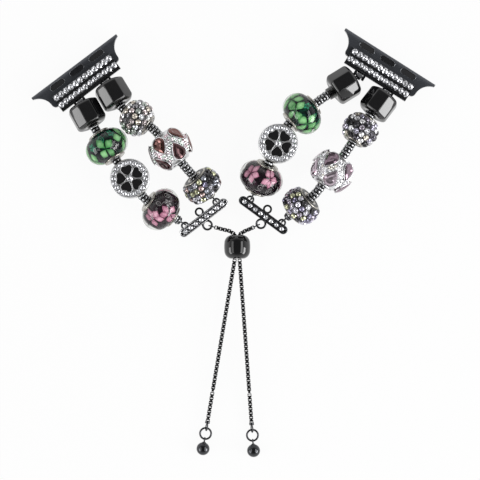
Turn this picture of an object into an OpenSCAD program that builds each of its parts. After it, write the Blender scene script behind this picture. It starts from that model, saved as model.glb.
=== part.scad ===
// Beaded charm watch strap in two halves, joined by two box chains that run through a sliding bead.
// It lies flat, z up. Each half has a slide-in adapter, a stone bar, two bead chains and an end bar.
// Side 0 is the left half and side 1 the right half. Chain 0 is the outer and chain 1 the inner one.

/* [Adapter] */
// length of the watch-side edge, from tip to tip
adapter_length = 32.4; // [28:0.1:38]
// depth from the watch-side edge to the strap-side edge
adapter_depth = 7.0; // [6.6:0.1:8]
// length of the strap-side edge
adapter_strap_length = 25.0; // [23:0.1:27]
// thickness of the adapter
adapter_thickness = 3.6; // [3.4:0.1:4]
// width of the blunt face at each tip
adapter_tip = 0.8; // [0.5:0.1:1.2]
// radius of the strap-side corners
adapter_corner_r = 1.2; // [0.9:0.1:1.3]
// length of the bumper pads
pad_length = 5.0; // [4:0.1:6]
// width of the bumper pads
pad_width = 1.7; // [1.4:0.1:2]
// depth of the pockets for the bumper pads
pad_depth = 1.2; // [0.8:0.1:1.4]
// distance of the pads from the middle of the adapter
pad_spacing = 7.4; // [7:0.1:8.5]
// length of the latch button
button_length = 4.8; // [4:0.1:5.2]
// width of the latch button
button_width = 1.5; // [1.3:0.1:1.8]
// travel of the latch button
button_travel = 0.6; // [0.4:0.1:0.6]
// width of the retaining flange around the button
flange_width = 0.35; // [0.3:0.05:0.45]

/* [Stone bar] */
// length of the stone bar
bar_length = 22.0; // [21.8:0.1:23]
// number of crystals in a row of the stone bar
bar_stones = 12; // [10:1:12]
// pitch of the crystals on the stone bar
bar_pitch = 1.8; // [1.75:0.05:1.85]
// distance between the two rows of the stone bar
bar_row_gap = 2.55; // [2.4:0.05:2.6]
// radius of the crystals on the stone bar
bar_stone_r = 0.78; // [0.7:0.02:0.8]
// radius of the hinge pins
pin_r = 0.45; // [0.4:0.05:0.5]

/* [Chains] */
// radius of the ribbed chain
chain_r = 1.5; // [1.4:0.05:1.55]
// pitch of the ribs on the chain
rib_pitch = 1.0; // [0.9:0.05:1.2]
// thickness of the box chain
box_size = 1.2; // [1.0:0.05:1.25]
// pitch of the links of the box chain
box_pitch = 1.25; // [1.1:0.05:1.5]

/* [Beads] */
// radius of the bead bores
bead_bore_r = 1.8; // [1.75:0.05:1.9]
// radius of the two glass beads
glass_r = 6.8; // [6.4:0.1:6.9]
// length of the two glass beads
glass_length = 9.6; // [9:0.1:9.6]
// radius of the flower disc
disc_r = 6.0; // [5.6:0.1:6.1]
// thickness of the flower disc
disc_thickness = 4.6; // [4.4:0.1:5.2]
// radius of the pave ball over its stones
ball_r = 5.65; // [5.4:0.05:5.7]
// length of the pave ball
ball_length = 8.8; // [8.4:0.1:8.8]
// radius of the drop bead over its gems
drop_r = 6.5; // [6.2:0.1:6.7]
// length of the drop bead
drop_length = 10.4; // [10:0.1:10.8]
// radius of the pave rondelle over its stones
rondelle_r = 6.0; // [5.8:0.1:6.2]
// length of the pave rondelle
rondelle_length = 7.5; // [7:0.1:8]
// width across the corners of the black barrels
barrel_width = 10.2; // [9.8:0.1:10.3]
// length of the black barrels
barrel_length = 7.8; // [7.6:0.1:7.9]
// height of the set stones over the metal
stone_height = 0.45; // [0.3:0.05:0.5]

/* [End bars] */
// length of the end bars
end_bar_length = 17.8; // [17.4:0.1:19]
// width of the end bars
end_bar_width = 2.7; // [2.4:0.1:2.8]
// thickness of the end bars
end_bar_thickness = 2.2; // [2:0.1:2.4]
// pitch of the eight crystals on an end bar
end_bar_pitch = 2.0; // [1.8:0.05:2.05]
// radius of the crystals on an end bar
end_bar_stone_r = 0.8; // [0.7:0.05:0.85]
// radius of the hole in the free charm loop
charm_hole_r = 0.8; // [0.7:0.05:0.85]
// radius of the closure rings on the end bars, to the middle of the wire
closure_ring_r = 1.35; // [1.3:0.05:1.45]
// radius of the wire of the closure rings
closure_wire_r = 0.33; // [0.3:0.01:0.36]
// radius of the chain rings on the end bars, to the middle of the wire
chain_ring_r = 1.0; // [0.95:0.05:1.1]
// radius of the wire of the chain rings
chain_wire_r = 0.3; // [0.26:0.01:0.33]

/* [Closure] */
// radius of the slider bead
slider_r = 4.0; // [3.9:0.05:4]
// length of the slider bead along its hole
slider_length = 7.2; // [7:0.1:7.2]
// radius of the rounding at the ends of the slider bead
slider_round = 2.6; // [2.4:0.1:2.8]
// wall of the soft core in the slider bead
core_wall = 0.55; // [0.4:0.05:0.6]
// radius of the end balls
end_ball_r = 2.0; // [1.8:0.1:2]
// radius of the jump rings, to the middle of the wire
jump_ring_r = 1.7; // [1.6:0.05:1.8]
// radius of the jump ring wire
jump_wire_r = 0.3; // [0.25:0.05:0.3]

/* [Fits] */
// clearance at a hinge eye, all round
eye_gap = 0.2; // [0.15:0.05:0.3]
// clearance around a pad, stone or tube seated in its pocket
seat_gap = 0.04; // [0.02:0.01:0.06]
// clearance of the sliding latch button
slide_gap = 0.2; // [0.15:0.05:0.25]
// clearance between chain lengths that bend against each other
bend_gap = 0.2; // [0.15:0.05:0.25]

/* [Hidden] */
$fn = 48;
// plan position and turn of the two adapters, local y runs from the watch to the strap
adapter_mid = [[-48.85, 54.2, 0], [47.95, 57.1, 0]];
adapter_turn = [217, 147.6];
// plan position and turn of the two end bars, local y runs towards the beads
end_bar_mid = [[-9.1, 7.8, 0], [9.0, 8.6, 0]];
end_bar_turn = [37.2, -36.2];
// heights of the adapter hinge, of the end bars and of the slider hole
adapter_z = 1.2;
hinge_z = 4.8;
end_bar_z = 5.0;
slider_z = slider_r;
// place of the hinge eyes on the adapter and on the end bar
hinge_y = 10.2;
hinge_x = 5.0;
ring_x = 6.0;
ring_y = 2.5;
// middle of the closure rings on the end bars, and the plan direction in which each chain leaves its ring
closure_ring_at = [[-0.45, -2.45, end_bar_z], [1.0, -2.5, end_bar_z]];
closure_leave = [-16, 205];
// bends of the outer and inner chains between the beads
outer_bends = [
  [[-41.6, 34.0, 6.3], [-35.5, 25.1, 7.8], [-26.9, 13.4, 8.4]],
  [[27.2, 44.3, 6.3], [16.4, 36.2, 7.8], [10.6, 24.4, 8.4]]
];
inner_bends = [
  [[-33.9, 41.1, 6.3], [-24.3, 34.8, 7.8], [-14.5, 23.0, 8.4]],
  [[41.3, 38.8, 6.3], [34.1, 27.7, 7.8], [25.0, 15.2, 8.4]]
];
// distance of each bead from the start of its chain length, in rows one to three
bead_at = [
  [[5.5, 6.8, 5.8], [5.5, 8.0, 7.6]],
  [[8.1, 6.6, 5.2], [5.1, 7.1, 6.1]]
];
barrel_at = [[4.4, 4.2], [5.6, 4.3]];
barrel_roll = [-10, 10];

function turned(p, az) = [p.x * cos(az) - p.y * sin(az), p.x * sin(az) + p.y * cos(az), p.z];
function on_adapter(s, p) = adapter_mid[s] + turned(p, adapter_turn[s]);
function on_end_bar(s, p) = end_bar_mid[s] + turned(p, end_bar_turn[s]);
function bends(s, c) = c == 0 ? outer_bends[s] : inner_bends[s];
// the five bends of a chain, from the hinge at the stone bar to the ring at the end bar
function bend(s, c, k) =
  k == 0 ? on_adapter(s, [c == 0 ? hinge_x : -hinge_x, hinge_y, hinge_z]) :
  k == 4 ? on_end_bar(s, [c == 0 ? -ring_x : ring_x, ring_y, end_bar_z]) :
  bends(s, c)[k - 1];

// slider and tails
slider_mid = [1.1, -1.05, slider_z];
chain_side = 0.7;
chain_x = [slider_mid.x - chain_side, slider_mid.x + chain_side];
slider_bore_r = norm([chain_side + box_size / 2, box_size / 2]) + bend_gap;
core_outer_r = slider_bore_r + core_wall;
tail_start = [[chain_x[0], -4.6, slider_z], [chain_x[1], -4.6, slider_z]];
tail_end = [[-8.0, -54.7, 1.35], [5.5, -55.2, 1.35]];
tail_split = 41.5;
small_ring_r = 1.05;
small_wire_r = 0.22;
cap_r = 0.75;
cap_length = 0.9;
ring_offset = 0.5 + small_ring_r + small_wire_r - 0.2;
ring_slack = 0.25;
ball_eye_r = 0.62;
ball_eye_wire_r = 0.25;
closure_route = [
  [[-3.8, 4.4, 4.7], [-1.3, 3.8, 4.3], [chain_x[0], 2.75, slider_z]],
  [[5.2, 4.5, 4.7], [3.5, 3.8, 4.3], [chain_x[1], 2.75, slider_z]]
];
link_r = 0.85;
link_wire_r = 0.22;
// the point of each closure ring that the first link goes round
function closure_pivot(s) = on_end_bar(s, closure_ring_at[s]) +
  closure_ring_r * [cos(closure_leave[s]), sin(closure_leave[s]), 0];

// adapter pockets
inset_y = 1.75;
adapter_top = adapter_z + adapter_thickness;
flare_from = adapter_depth - adapter_corner_r - 0.1;
flare_w = (adapter_length - adapter_strap_length) / 2;
flare_h = flare_from - adapter_tip;
flare_r = (flare_w * flare_w + flare_h * flare_h) / (2 * flare_w);
flange_height = 0.45;
// height of the spring with the button pressed down
spring_rest = 0.4;
cavity_floor = adapter_z + 0.7;
cavity_roof = cavity_floor + spring_rest + button_travel + flange_height + 0.05;
flange_top = cavity_roof - 0.05;
flange_bottom = flange_top - flange_height;

// stone bar section
bar_rows = [4.9, 4.9 + bar_row_gap];
bar_margin = 0.3;
bar_front = bar_rows[0] - bar_stone_r - bar_margin;
bar_step = bar_rows[1] + bar_stone_r + bar_margin;
bar_back = 9.4;
bar_rise = 1.6;
bar_bottom = hinge_z - 1.4;
bar_top = adapter_top + bar_rise;
bar_low_top = hinge_z + 0.8;
ear_r = pin_r + 0.45;
ear_w = 0.8;
eye_w = 1.8;
eye_r = ear_r + 0.35;
eye_relief_r = eye_r + 0.3;
tongue_w = 1.0;
tongue_h = 1.4;
first_rib_at = ear_r + 1.3;
pin_length = eye_w + 2 * eye_gap + 2 * ear_w;
seat_depth = 0.25;

// rings of the end bars
chain_eye_r = 0.85;
chain_eye_wire_r = 0.26;
chain_cap_r = 1.25;
chain_cap_length = 1.0;
charm_loop_r = charm_hole_r + 0.6;
charm_loop_h = 0.9;
charm_loop_y = end_bar_width / 2 + charm_hole_r + 0.1;

// bead details
rim_r = 3.2;
rim_w = 0.6;
tube_r = bead_bore_r + 0.5;
recess_r = 2.7;
recess_depth = 1.7;
knuckle_recess_r = chain_r + 0.4;
knuckle_recess_gap = 0.35;
barrel_flat = barrel_width / 2 * cos(22.5);
barrel_bevel = 1.5;
// stones of the flower disc: radius of their ring, of each of them and of the one in the middle
disc_ring_r = disc_r - 1.16;
disc_ring_stone_r = 0.66;
disc_middle_stone_r = 1.0;
// rows of stones on the pave beads: angle from the middle, number, radius and turn of the first one
ball_rows = [[0, 15, 0.98, 0], [25, 14, 0.85, 10], [-25, 14, 0.85, 10]];
rondelle_rows = [[0, 17, 0.9, 0], [29, 16, 0.8, 10], [-29, 16, 0.8, 10]];
rondelle_end_r = rim_r + 1;
ball_end_r = rim_r - 0.4;
rim_inset = 0.3;
// gems of the drop bead: radius, tip as a share of it, girdle and crown heights, and their places
gem_r = 2.05;
gem_tip = 1.8;
gem_girdle = 0.7;
gem_crown = 0.5;
gem_seat = drop_r - gem_girdle - gem_crown - 0.1;
gem_phi = 22;
gem_shift = 0.7;
gem_start = [20, 26];

// frames
module on_adapter_frame(s) {
  translate(adapter_mid[s]) rotate([0, 0, adapter_turn[s]]) children();
}

module on_end_bar_frame(s) {
  translate(end_bar_mid[s]) rotate([0, 0, end_bar_turn[s]]) children();
}

// puts the origin at a and local x along the line from a to b
module along(a, b) {
  d = b - a;
  translate(a) rotate([0, -asin(d.z / norm(d)), atan2(d.y, d.x)]) children();
}

// local x runs along the chain and the origin is the middle of the bead
module on_bead(s, c, row) {
  along(bend(s, c, row), bend(s, c, row + 1)) translate([bead_at[s][c][row - 1], 0, 0]) children();
}

// common shapes
module oblong(l, w, h) {
  translate([-(l - w) / 2, 0, 0]) cylinder(h = h, r = w / 2);
  translate([(l - w) / 2, 0, 0]) cylinder(h = h, r = w / 2);
  translate([-(l - w) / 2, -w / 2, 0]) cube([l - w, w, h]);
}

// round rod along local x, centred
module x_rod(r, l) {
  rotate([0, 90, 0]) translate([0, 0, -l / 2]) cylinder(h = l, r = r);
}

function arc_c(mid, end, half) = (mid * mid - end * end - half * half) / (2 * (mid - end));

// turned bead with a curved side, bored along local x
module turned_bead(mid, end, half, bore) {
  c = arc_c(mid, end, half);
  rotate([0, 90, 0]) rotate_extrude() intersection() {
    translate([c, 0]) circle(r = mid - c);
    translate([bore, -half]) square([mid, 2 * half]);
  }
}

// sleeve with a rim at each end
module rimmed_tube(bore, tube, rim, half, w) {
  rotate([0, 90, 0]) rotate_extrude() polygon([
    [bore, -half], [rim - 0.15, -half], [rim, -half + 0.15], [rim, -half + w], [tube, -half + w],
    [tube, half - w], [rim, half - w], [rim, half - 0.15], [rim - 0.15, half], [bore, half]
  ]);
}

// cut stone standing on z 0: a low girdle and a crown
module stone(r, below, above) {
  translate([0, 0, -below]) cylinder(h = below + above * 0.3, r = r, $fn = 24);
  translate([0, 0, above * 0.3]) cylinder(h = above * 0.7, r1 = r, r2 = r * 0.6, $fn = 24);
}

// ring of stones round local x at the angle phi of a turned bead
module stone_ring(mid, end, half, phi, n, r, start) {
  c = arc_c(mid, end, half);
  big = mid - c;
  for (i = [0 : n - 1])
    rotate([start + i * 360 / n, 0, 0])
      translate([big * sin(phi), 0, c + big * cos(phi)]) rotate([0, phi, 0]) stone(r, 0, stone_height);
}

// chain shapes
function rib_outline(from, to) =
  let (n = max(1, floor((to - from) / rib_pitch)), p = (to - from) / n, g = chain_r * 0.86)
    [for (i = [0 : n - 1]) each [
      [g, from + i * p], [chain_r, from + (i + 0.22) * p], [chain_r, from + (i + 0.78) * p]
    ]];

module ribbed_chain(l) {
  rotate([0, 90, 0]) rotate_extrude()
    polygon(concat([[0, 0]], rib_outline(0, l), [[chain_r * 0.86, l], [0, l]]));
}

// chain length that starts in a round knuckle, where it bends
module knuckle_chain(l) {
  groove = chain_r * 0.86;
  from = sqrt(chain_r * chain_r - groove * groove) + 0.15;
  rotate([0, 90, 0]) rotate_extrude() intersection() {
    union() {
      circle(r = chain_r);
      polygon(concat([[0, 0], [groove, 0]], rib_outline(from, l), [[groove, l], [0, l]]));
    }
    translate([0, -chain_r]) square([chain_r + 1, l + chain_r]);
  }
}

// chain length between two bends
module chain_length(a, b) {
  along(a, b) knuckle_chain(norm(b - a) - chain_r - bend_gap);
}

// square box chain along local x
module box_chain(l) {
  n = max(1, floor(l / box_pitch));
  p = l / n;
  h = box_size / 2;
  k = h * 0.66;
  e = 0.12 * p;
  up = [for (i = [0 : n - 1]) each [
    [i * p, k], [i * p + e, k], [i * p + e, h], [i * p + p - e, h], [i * p + p - e, k]
  ]];
  down = [for (i = [n - 1 : -1 : 0]) each [
    [i * p + p - e, -k], [i * p + p - e, -h], [i * p + e, -h], [i * p + e, -k], [i * p, -k]
  ]];
  outline = concat(up, [[l, k], [l, -k]], down);
  intersection() {
    linear_extrude(height = box_size, center = true) polygon(outline);
    rotate([90, 0, 0]) linear_extrude(height = box_size, center = true) polygon(outline);
  }
}

// adapter parts
module adapter_outline() {
  difference() {
    translate([-adapter_length / 2, 0]) square([adapter_length, adapter_depth]);
    for (m = [0, 1]) mirror([m, 0]) {
      translate([adapter_strap_length / 2 + flare_r, flare_from]) circle(r = flare_r);
      translate([adapter_strap_length / 2, flare_from]) square([flare_r, adapter_depth]);
      translate([adapter_strap_length / 2 - adapter_corner_r, adapter_depth - adapter_corner_r]) difference() {
        square([flare_r, adapter_depth]);
        circle(r = adapter_corner_r);
      }
    }
  }
}

module adapter(s) {
  color([0.07, 0.07, 0.08]) on_adapter_frame(s) difference() {
    intersection() {
      translate([0, 0, adapter_z]) linear_extrude(height = adapter_thickness) adapter_outline();
      rotate([90, 0, 90]) linear_extrude(height = adapter_length + 2, center = true) union() {
        translate([adapter_thickness / 2, adapter_z + adapter_thickness / 2])
          circle(r = adapter_thickness / 2);
        polygon([
          [adapter_thickness / 2, adapter_z], [adapter_depth - 0.4, adapter_z],
          [adapter_depth, adapter_z + 0.4], [adapter_depth, adapter_top],
          [adapter_thickness / 2, adapter_top]
        ]);
      }
    }
    for (x = [-pad_spacing, pad_spacing])
      translate([x, inset_y, adapter_top - pad_depth])
        oblong(pad_length + 2 * seat_gap, pad_width + 2 * seat_gap, pad_depth + 1);
    translate([0, inset_y, cavity_roof - 0.5])
      oblong(button_length + 2 * slide_gap, button_width + 2 * slide_gap, adapter_top);
    translate([0, inset_y, cavity_floor])
      oblong(button_length + 2 * flange_width + 2 * slide_gap,
        button_width + 2 * flange_width + 2 * slide_gap, cavity_roof - cavity_floor);
  }
}

module latch_button(s) {
  color([0.12, 0.12, 0.13]) on_adapter_frame(s) translate([0, inset_y, 0]) {
    translate([0, 0, flange_bottom]) oblong(button_length, button_width, adapter_top + 0.1 - flange_bottom);
    translate([0, 0, flange_bottom])
      oblong(button_length + 2 * flange_width, button_width + 2 * flange_width, flange_top - flange_bottom);
  }
}

module latch_spring(s) {
  wire = 0.12;
  span = flange_bottom - cavity_floor - 2 * wire;
  color([0.75, 0.75, 0.78]) on_adapter_frame(s) translate([0, inset_y, cavity_floor]) {
    for (i = [0 : 2])
      translate([0, 0, wire + i * span / 2]) rotate_extrude() translate([0.6, 0]) circle(r = wire, $fn = 16);
    for (i = [0, 1])
      rotate([0, 0, i * 180]) translate([0.6, 0, wire + i * span / 2]) cylinder(h = span / 2, r = wire, $fn = 16);
  }
}

module bumpers(s) {
  color([0.03, 0.03, 0.03]) on_adapter_frame(s)
    for (x = [-pad_spacing, pad_spacing])
      translate([x, inset_y, adapter_top - pad_depth]) oblong(pad_length, pad_width, pad_depth - 0.1);
}

module stone_bar(s) {
  ear_at = eye_w / 2 + eye_gap + ear_w / 2;
  color([0.25, 0.26, 0.27]) on_adapter_frame(s) difference() {
    union() {
      rotate([90, 0, 90]) linear_extrude(height = bar_length, center = true) polygon([
        [bar_front, adapter_top], [bar_front, bar_top - 0.3], [bar_front + 0.3, bar_top],
        [bar_step, bar_top], [bar_step, bar_low_top], [bar_back - 0.2, bar_low_top],
        [bar_back, bar_low_top - 0.2], [bar_back, bar_bottom], [adapter_depth, bar_bottom],
        [adapter_depth, adapter_top]
      ]);
      for (x = [-hinge_x, hinge_x]) for (e = [-ear_at, ear_at]) translate([x + e, hinge_y, hinge_z]) {
        x_rod(ear_r, ear_w);
        translate([-ear_w / 2, bar_back - hinge_y - 0.1, -ear_r])
          cube([ear_w, hinge_y - bar_back + 0.1, 2 * ear_r]);
      }
    }
    for (x = [-hinge_x, hinge_x]) translate([x, hinge_y, hinge_z]) {
      x_rod(pin_r, pin_length + 1);
      x_rod(eye_relief_r, eye_w + 2 * eye_gap);
    }
    for (y = bar_rows) for (i = [0 : bar_stones - 1])
      translate([(i - (bar_stones - 1) / 2) * bar_pitch, y, bar_top - seat_depth])
        cylinder(h = 1, r = bar_stone_r + seat_gap, $fn = 24);
  }
}

module stone_bar_crystals(s) {
  color([0.9, 0.92, 0.96]) on_adapter_frame(s)
    for (y = bar_rows) for (i = [0 : bar_stones - 1])
      translate([(i - (bar_stones - 1) / 2) * bar_pitch, y, bar_top])
        stone(bar_stone_r, seat_depth, stone_height);
}

module hinge_pins(s) {
  color([0.6, 0.6, 0.62]) on_adapter_frame(s)
    for (x = [-hinge_x, hinge_x]) translate([x, hinge_y, hinge_z]) x_rod(pin_r, pin_length);
}

// black barrels with eight flats, fixed on the first chain length
module faceted_barrel() {
  intersection() {
    bevelled_slab(0);
    bevelled_slab(45);
    bevelled_slab(90);
    bevelled_slab(135);
  }
}

module bevelled_slab(a) {
  l = barrel_length / 2;
  f = barrel_flat;
  b = barrel_bevel;
  rotate([a, 0, 0]) linear_extrude(height = 2 * barrel_width, center = true) polygon([
    [-l, -f + b], [-l + b * 0.8, -f], [l - b * 0.8, -f], [l, -f + b],
    [l, f - b], [l - b * 0.8, f], [-l + b * 0.8, f], [-l, f - b]
  ]);
}

module barrels(s) {
  color([0.04, 0.04, 0.05]) for (c = [0, 1]) {
    a = bend(s, c, 0);
    b = bend(s, c, 1);
    knuckle_from = norm(b - a) - chain_r;
    difference() {
      union() {
        along(a, b) {
          difference() {
            translate([barrel_at[s][c], 0, 0]) rotate([barrel_roll[s], 0, 0]) faceted_barrel();
            translate([recess_depth / 2, 0, 0]) x_rod(recess_r, recess_depth + 2);
            translate([knuckle_from - knuckle_recess_gap + barrel_length / 2, 0, 0])
              x_rod(knuckle_recess_r, barrel_length);
          }
          translate([first_rib_at, 0, 0]) ribbed_chain(knuckle_from - bend_gap - first_rib_at);
          translate([ear_r, -tongue_w / 2, -tongue_h / 2]) cube([first_rib_at - ear_r + 0.5, tongue_w, tongue_h]);
        }
        translate(a) rotate([0, 0, adapter_turn[s]]) x_rod(eye_r, eye_w);
      }
      translate(a) rotate([0, 0, adapter_turn[s]]) x_rod(pin_r + eye_gap, 2 * eye_w);
    }
  }
}

// chain rows, each row holds one length of both chains
module chain_row(s, row) {
  color([0.2, 0.2, 0.21]) for (c = [0, 1]) chain_length(bend(s, c, row), bend(s, c, row + 1));
}

// the third row ends in caps, with eyes round the wire of the end bar's rings
module last_chain_row(s) {
  color([0.2, 0.2, 0.21]) for (c = [0, 1]) {
    a = bend(s, c, 3);
    b = bend(s, c, 4);
    l = norm(b - a) - chain_eye_r - chain_cap_length;
    along(a, b) {
      knuckle_chain(l);
      translate([l + chain_cap_length / 2, 0, 0]) x_rod(chain_cap_r, chain_cap_length);
      translate([norm(b - a), 0, 0]) rotate([90, 0, 0])
        rotate_extrude() translate([chain_eye_r, 0]) circle(r = chain_eye_wire_r, $fn = 24);
    }
  }
}

// glass beads
module glass_bead() {
  turned_bead(glass_r, rim_r + 0.5, glass_length / 2 - rim_w, tube_r + seat_gap);
}

module bead_core() {
  rimmed_tube(bead_bore_r, tube_r, rim_r, glass_length / 2, rim_w);
}

module green_glass(s) {
  color([0.35, 0.7, 0.35]) on_bead(s, 0, 1) glass_bead();
}

module green_core(s) {
  color([0.7, 0.7, 0.72]) on_bead(s, 0, 1) bead_core();
}

module pink_glass(s) {
  color([0.85, 0.45, 0.65]) on_bead(s, 0, 3) glass_bead();
}

module pink_core(s) {
  color([0.7, 0.7, 0.72]) on_bead(s, 0, 3) bead_core();
}

// flower disc
module heart_petal() {
  translate([3.05, 0.76]) circle(r = 0.88);
  translate([3.05, -0.76]) circle(r = 0.88);
  polygon([[1.12, 0], [2.41, 1.36], [3.05, 0.76], [3.05, -0.76], [2.41, -1.36]]);
}

module flower_disc(s) {
  h = disc_thickness / 2;
  color([0.72, 0.72, 0.74]) on_bead(s, 0, 2) difference() {
    rotate_extrude() polygon([
      [0, -h], [disc_r - 0.5, -h], [disc_r, -h + 0.5], [disc_r, h - 0.5], [disc_r - 0.5, h], [0, h]
    ]);
    x_rod(bead_bore_r, 3 * disc_r);
    for (m = [0, 1]) mirror([0, 0, m]) for (i = [0 : 4])
      rotate([0, 0, i * 72 + 18]) translate([0, 0, h - 0.25]) linear_extrude(height = 1) heart_petal();
  }
}

module flower_disc_crystals(s) {
  color([0.9, 0.92, 0.96]) on_bead(s, 0, 2) for (m = [0, 1]) mirror([0, 0, m]) {
    for (i = [0 : 19])
      rotate([0, 0, i * 18]) translate([disc_ring_r, 0, disc_thickness / 2])
        stone(disc_ring_stone_r, 0, 0.8 * stone_height);
    translate([0, 0, disc_thickness / 2]) stone(disc_middle_stone_r, 0, stone_height);
  }
}

// pave ball
module pave_ball(s) {
  half = ball_length / 2;
  color([0.08, 0.08, 0.09]) on_bead(s, 1, 1) {
    turned_bead(ball_r - stone_height, ball_end_r, half - rim_inset, tube_r);
    rimmed_tube(bead_bore_r, tube_r, rim_r - 0.2, half, 0.4);
  }
}

module pave_ball_crystals(s) {
  color([0.85, 0.9, 0.98]) on_bead(s, 1, 1) for (row = ball_rows)
    stone_ring(ball_r - stone_height, ball_end_r, ball_length / 2 - rim_inset, row[0], row[1], row[2], row[3]);
}

// drop bead: two rings of five teardrop gems, the second ring turned by half a gem
module teardrop(k) {
  r = gem_r * k;
  a = acos(1 / gem_tip);
  circle(r = r);
  polygon([[0, 0], [r * cos(a), r * sin(a)], [r * gem_tip, 0], [r * cos(a), -r * sin(a)]]);
}

module on_gem_seats(s) {
  for (m = [-1, 1]) for (i = [0 : 4])
    rotate([gem_start[s] + i * 72 + (m > 0 ? 36 : 0), 0, 0]) rotate([0, m * gem_phi, 0])
      translate([m * gem_shift, 0, gem_seat]) rotate([0, 0, m > 0 ? 180 : 0]) children();
}

module drop_bead(s) {
  half = drop_length / 2;
  color([0.72, 0.72, 0.74]) on_bead(s, 1, 2) {
    difference() {
      turned_bead(drop_r - 0.4, rim_r, half - 0.3, tube_r);
      on_gem_seats(s) linear_extrude(height = 3) teardrop(1 + seat_gap / gem_r);
    }
    rimmed_tube(bead_bore_r, tube_r, rim_r, half, 0.4);
  }
}

module drop_bead_gems(s) {
  color([0.65, 0.5, 0.52]) on_bead(s, 1, 2) on_gem_seats(s) {
    linear_extrude(height = gem_girdle) teardrop(1);
    translate([0, 0, gem_girdle]) linear_extrude(height = gem_crown) teardrop(0.7);
  }
}

// pave rondelle
module pave_rondelle(s) {
  half = rondelle_length / 2;
  color([0.08, 0.08, 0.09]) on_bead(s, 1, 3) {
    turned_bead(rondelle_r - stone_height, rondelle_end_r, half - rim_inset, tube_r);
    rimmed_tube(bead_bore_r, tube_r, rondelle_end_r - 0.1, half, 0.4);
  }
}

module pave_rondelle_crystals(s) {
  color([0.85, 0.85, 0.98]) on_bead(s, 1, 3) for (row = rondelle_rows)
    stone_ring(rondelle_r - stone_height, rondelle_end_r, rondelle_length / 2 - rim_inset,
      row[0], row[1], row[2], row[3]);
}

// end bars: rail, two chain rings, a free charm loop and the closure ring
module wire_ring(r, wire) {
  rotate_extrude() translate([r, 0]) circle(r = wire, $fn = 24);
}

module end_bar(s) {
  color([0.25, 0.26, 0.27]) on_end_bar_frame(s) difference() {
    union() {
      translate([0, 0, end_bar_z - end_bar_thickness / 2])
        oblong(end_bar_length, end_bar_width, end_bar_thickness);
      for (x = [-ring_x, ring_x])
        translate([x, ring_y - chain_ring_r, end_bar_z]) wire_ring(chain_ring_r, chain_wire_r);
      translate(closure_ring_at[s]) wire_ring(closure_ring_r, closure_wire_r);
      translate([0, charm_loop_y, end_bar_z - charm_loop_h / 2]) cylinder(h = charm_loop_h, r = charm_loop_r);
    }
    translate([0, charm_loop_y, end_bar_z - 2]) cylinder(h = 4, r = charm_hole_r);
    for (i = [0 : 7])
      translate([(i - 3.5) * end_bar_pitch, 0, end_bar_z + end_bar_thickness / 2 - seat_depth])
        cylinder(h = 1, r = end_bar_stone_r + seat_gap, $fn = 24);
  }
}

module end_bar_crystals(s) {
  color([0.9, 0.92, 0.96]) on_end_bar_frame(s) for (i = [0 : 7])
    translate([(i - 3.5) * end_bar_pitch, 0, end_bar_z + end_bar_thickness / 2])
      stone(end_bar_stone_r, seat_depth, stone_height);
}

// closure chain from a link on the end bar's ring through the slider bead
module closure_chain(s) {
  p = closure_pivot(s);
  q = closure_route[s];
  out = [cos(closure_leave[s]), sin(closure_leave[s]), 0];
  start = p + out * (link_r + 0.05);
  last = [q[2].x, tail_start[s].y + 0.15, slider_z];
  color([0.25, 0.25, 0.27]) {
    along(p, p + out) rotate([90, 0, 0]) wire_ring(link_r, link_wire_r);
    along(start, q[0]) box_chain(norm(q[0] - start));
    along(q[0], q[1]) box_chain(norm(q[1] - q[0]));
    along(q[1], q[2]) box_chain(norm(q[2] - q[1]));
    along(q[2], last) box_chain(norm(last - q[2]));
    for (v = q) translate(v - [0, 0, box_size / 2]) cylinder(h = box_size, r = box_size / 2, $fn = 24);
  }
}

// tails
module tail_upper(s) {
  color([0.25, 0.25, 0.27]) along(tail_start[s], tail_end[s])
    translate([0.15, 0, 0]) box_chain(tail_split - 0.3);
}

module tail_lower(s) {
  l = norm(tail_end[s] - tail_start[s]);
  color([0.25, 0.25, 0.27]) along(tail_start[s], tail_end[s]) {
    translate([tail_split, 0, 0]) box_chain(l - tail_split);
    translate([l + 0.5 - cap_length / 2, 0, 0]) x_rod(cap_r, cap_length);
    translate([l + ring_offset, 0, 0]) rotate([90, 0, 0]) wire_ring(small_ring_r, small_wire_r);
  }
}

module end_ball(s) {
  l = norm(tail_end[s] - tail_start[s]);
  d = (tail_end[s] - tail_start[s]) / l;
  flat = [d.x, d.y, 0] / norm([d.x, d.y, 0]);
  p = tail_end[s] + d * ring_offset;
  ring_x0 = ring_slack + jump_ring_r;
  eye_x0 = ring_x0 + jump_ring_r + ball_eye_wire_r;
  ball_x0 = eye_x0 + ball_eye_r + end_ball_r + 0.1;
  color([0.3, 0.3, 0.32]) along(p, p + flat) {
    translate([ring_x0, 0, 0]) wire_ring(jump_ring_r, jump_wire_r);
    translate([eye_x0, 0, 0]) rotate([90, 0, 0]) wire_ring(ball_eye_r, ball_eye_wire_r);
    translate([ball_x0, 0, end_ball_r - p.z]) sphere(r = end_ball_r);
  }
}

// slider bead and its soft core, bored along y
module slider_bead() {
  half = slider_length / 2;
  round_at = slider_r - slider_round;
  reach = core_outer_r + 0.2 - round_at;
  side = half - sqrt(slider_round * slider_round - reach * reach);
  bore = core_outer_r + seat_gap;
  color([0.03, 0.03, 0.03]) translate(slider_mid) rotate([90, 0, 0]) rotate_extrude() intersection() {
    union() {
      for (z = [-side, side]) translate([round_at, z]) circle(r = slider_round);
      translate([0, -side]) square([slider_r, 2 * side]);
    }
    translate([bore, -half]) square([slider_r, 2 * half]);
  }
}

module slider_core() {
  color([0.15, 0.15, 0.16]) translate(slider_mid) rotate([0, 0, 90]) difference() {
    x_rod(core_outer_r, slider_length - 0.4);
    x_rod(slider_bore_r, slider_length);
  }
}

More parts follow.
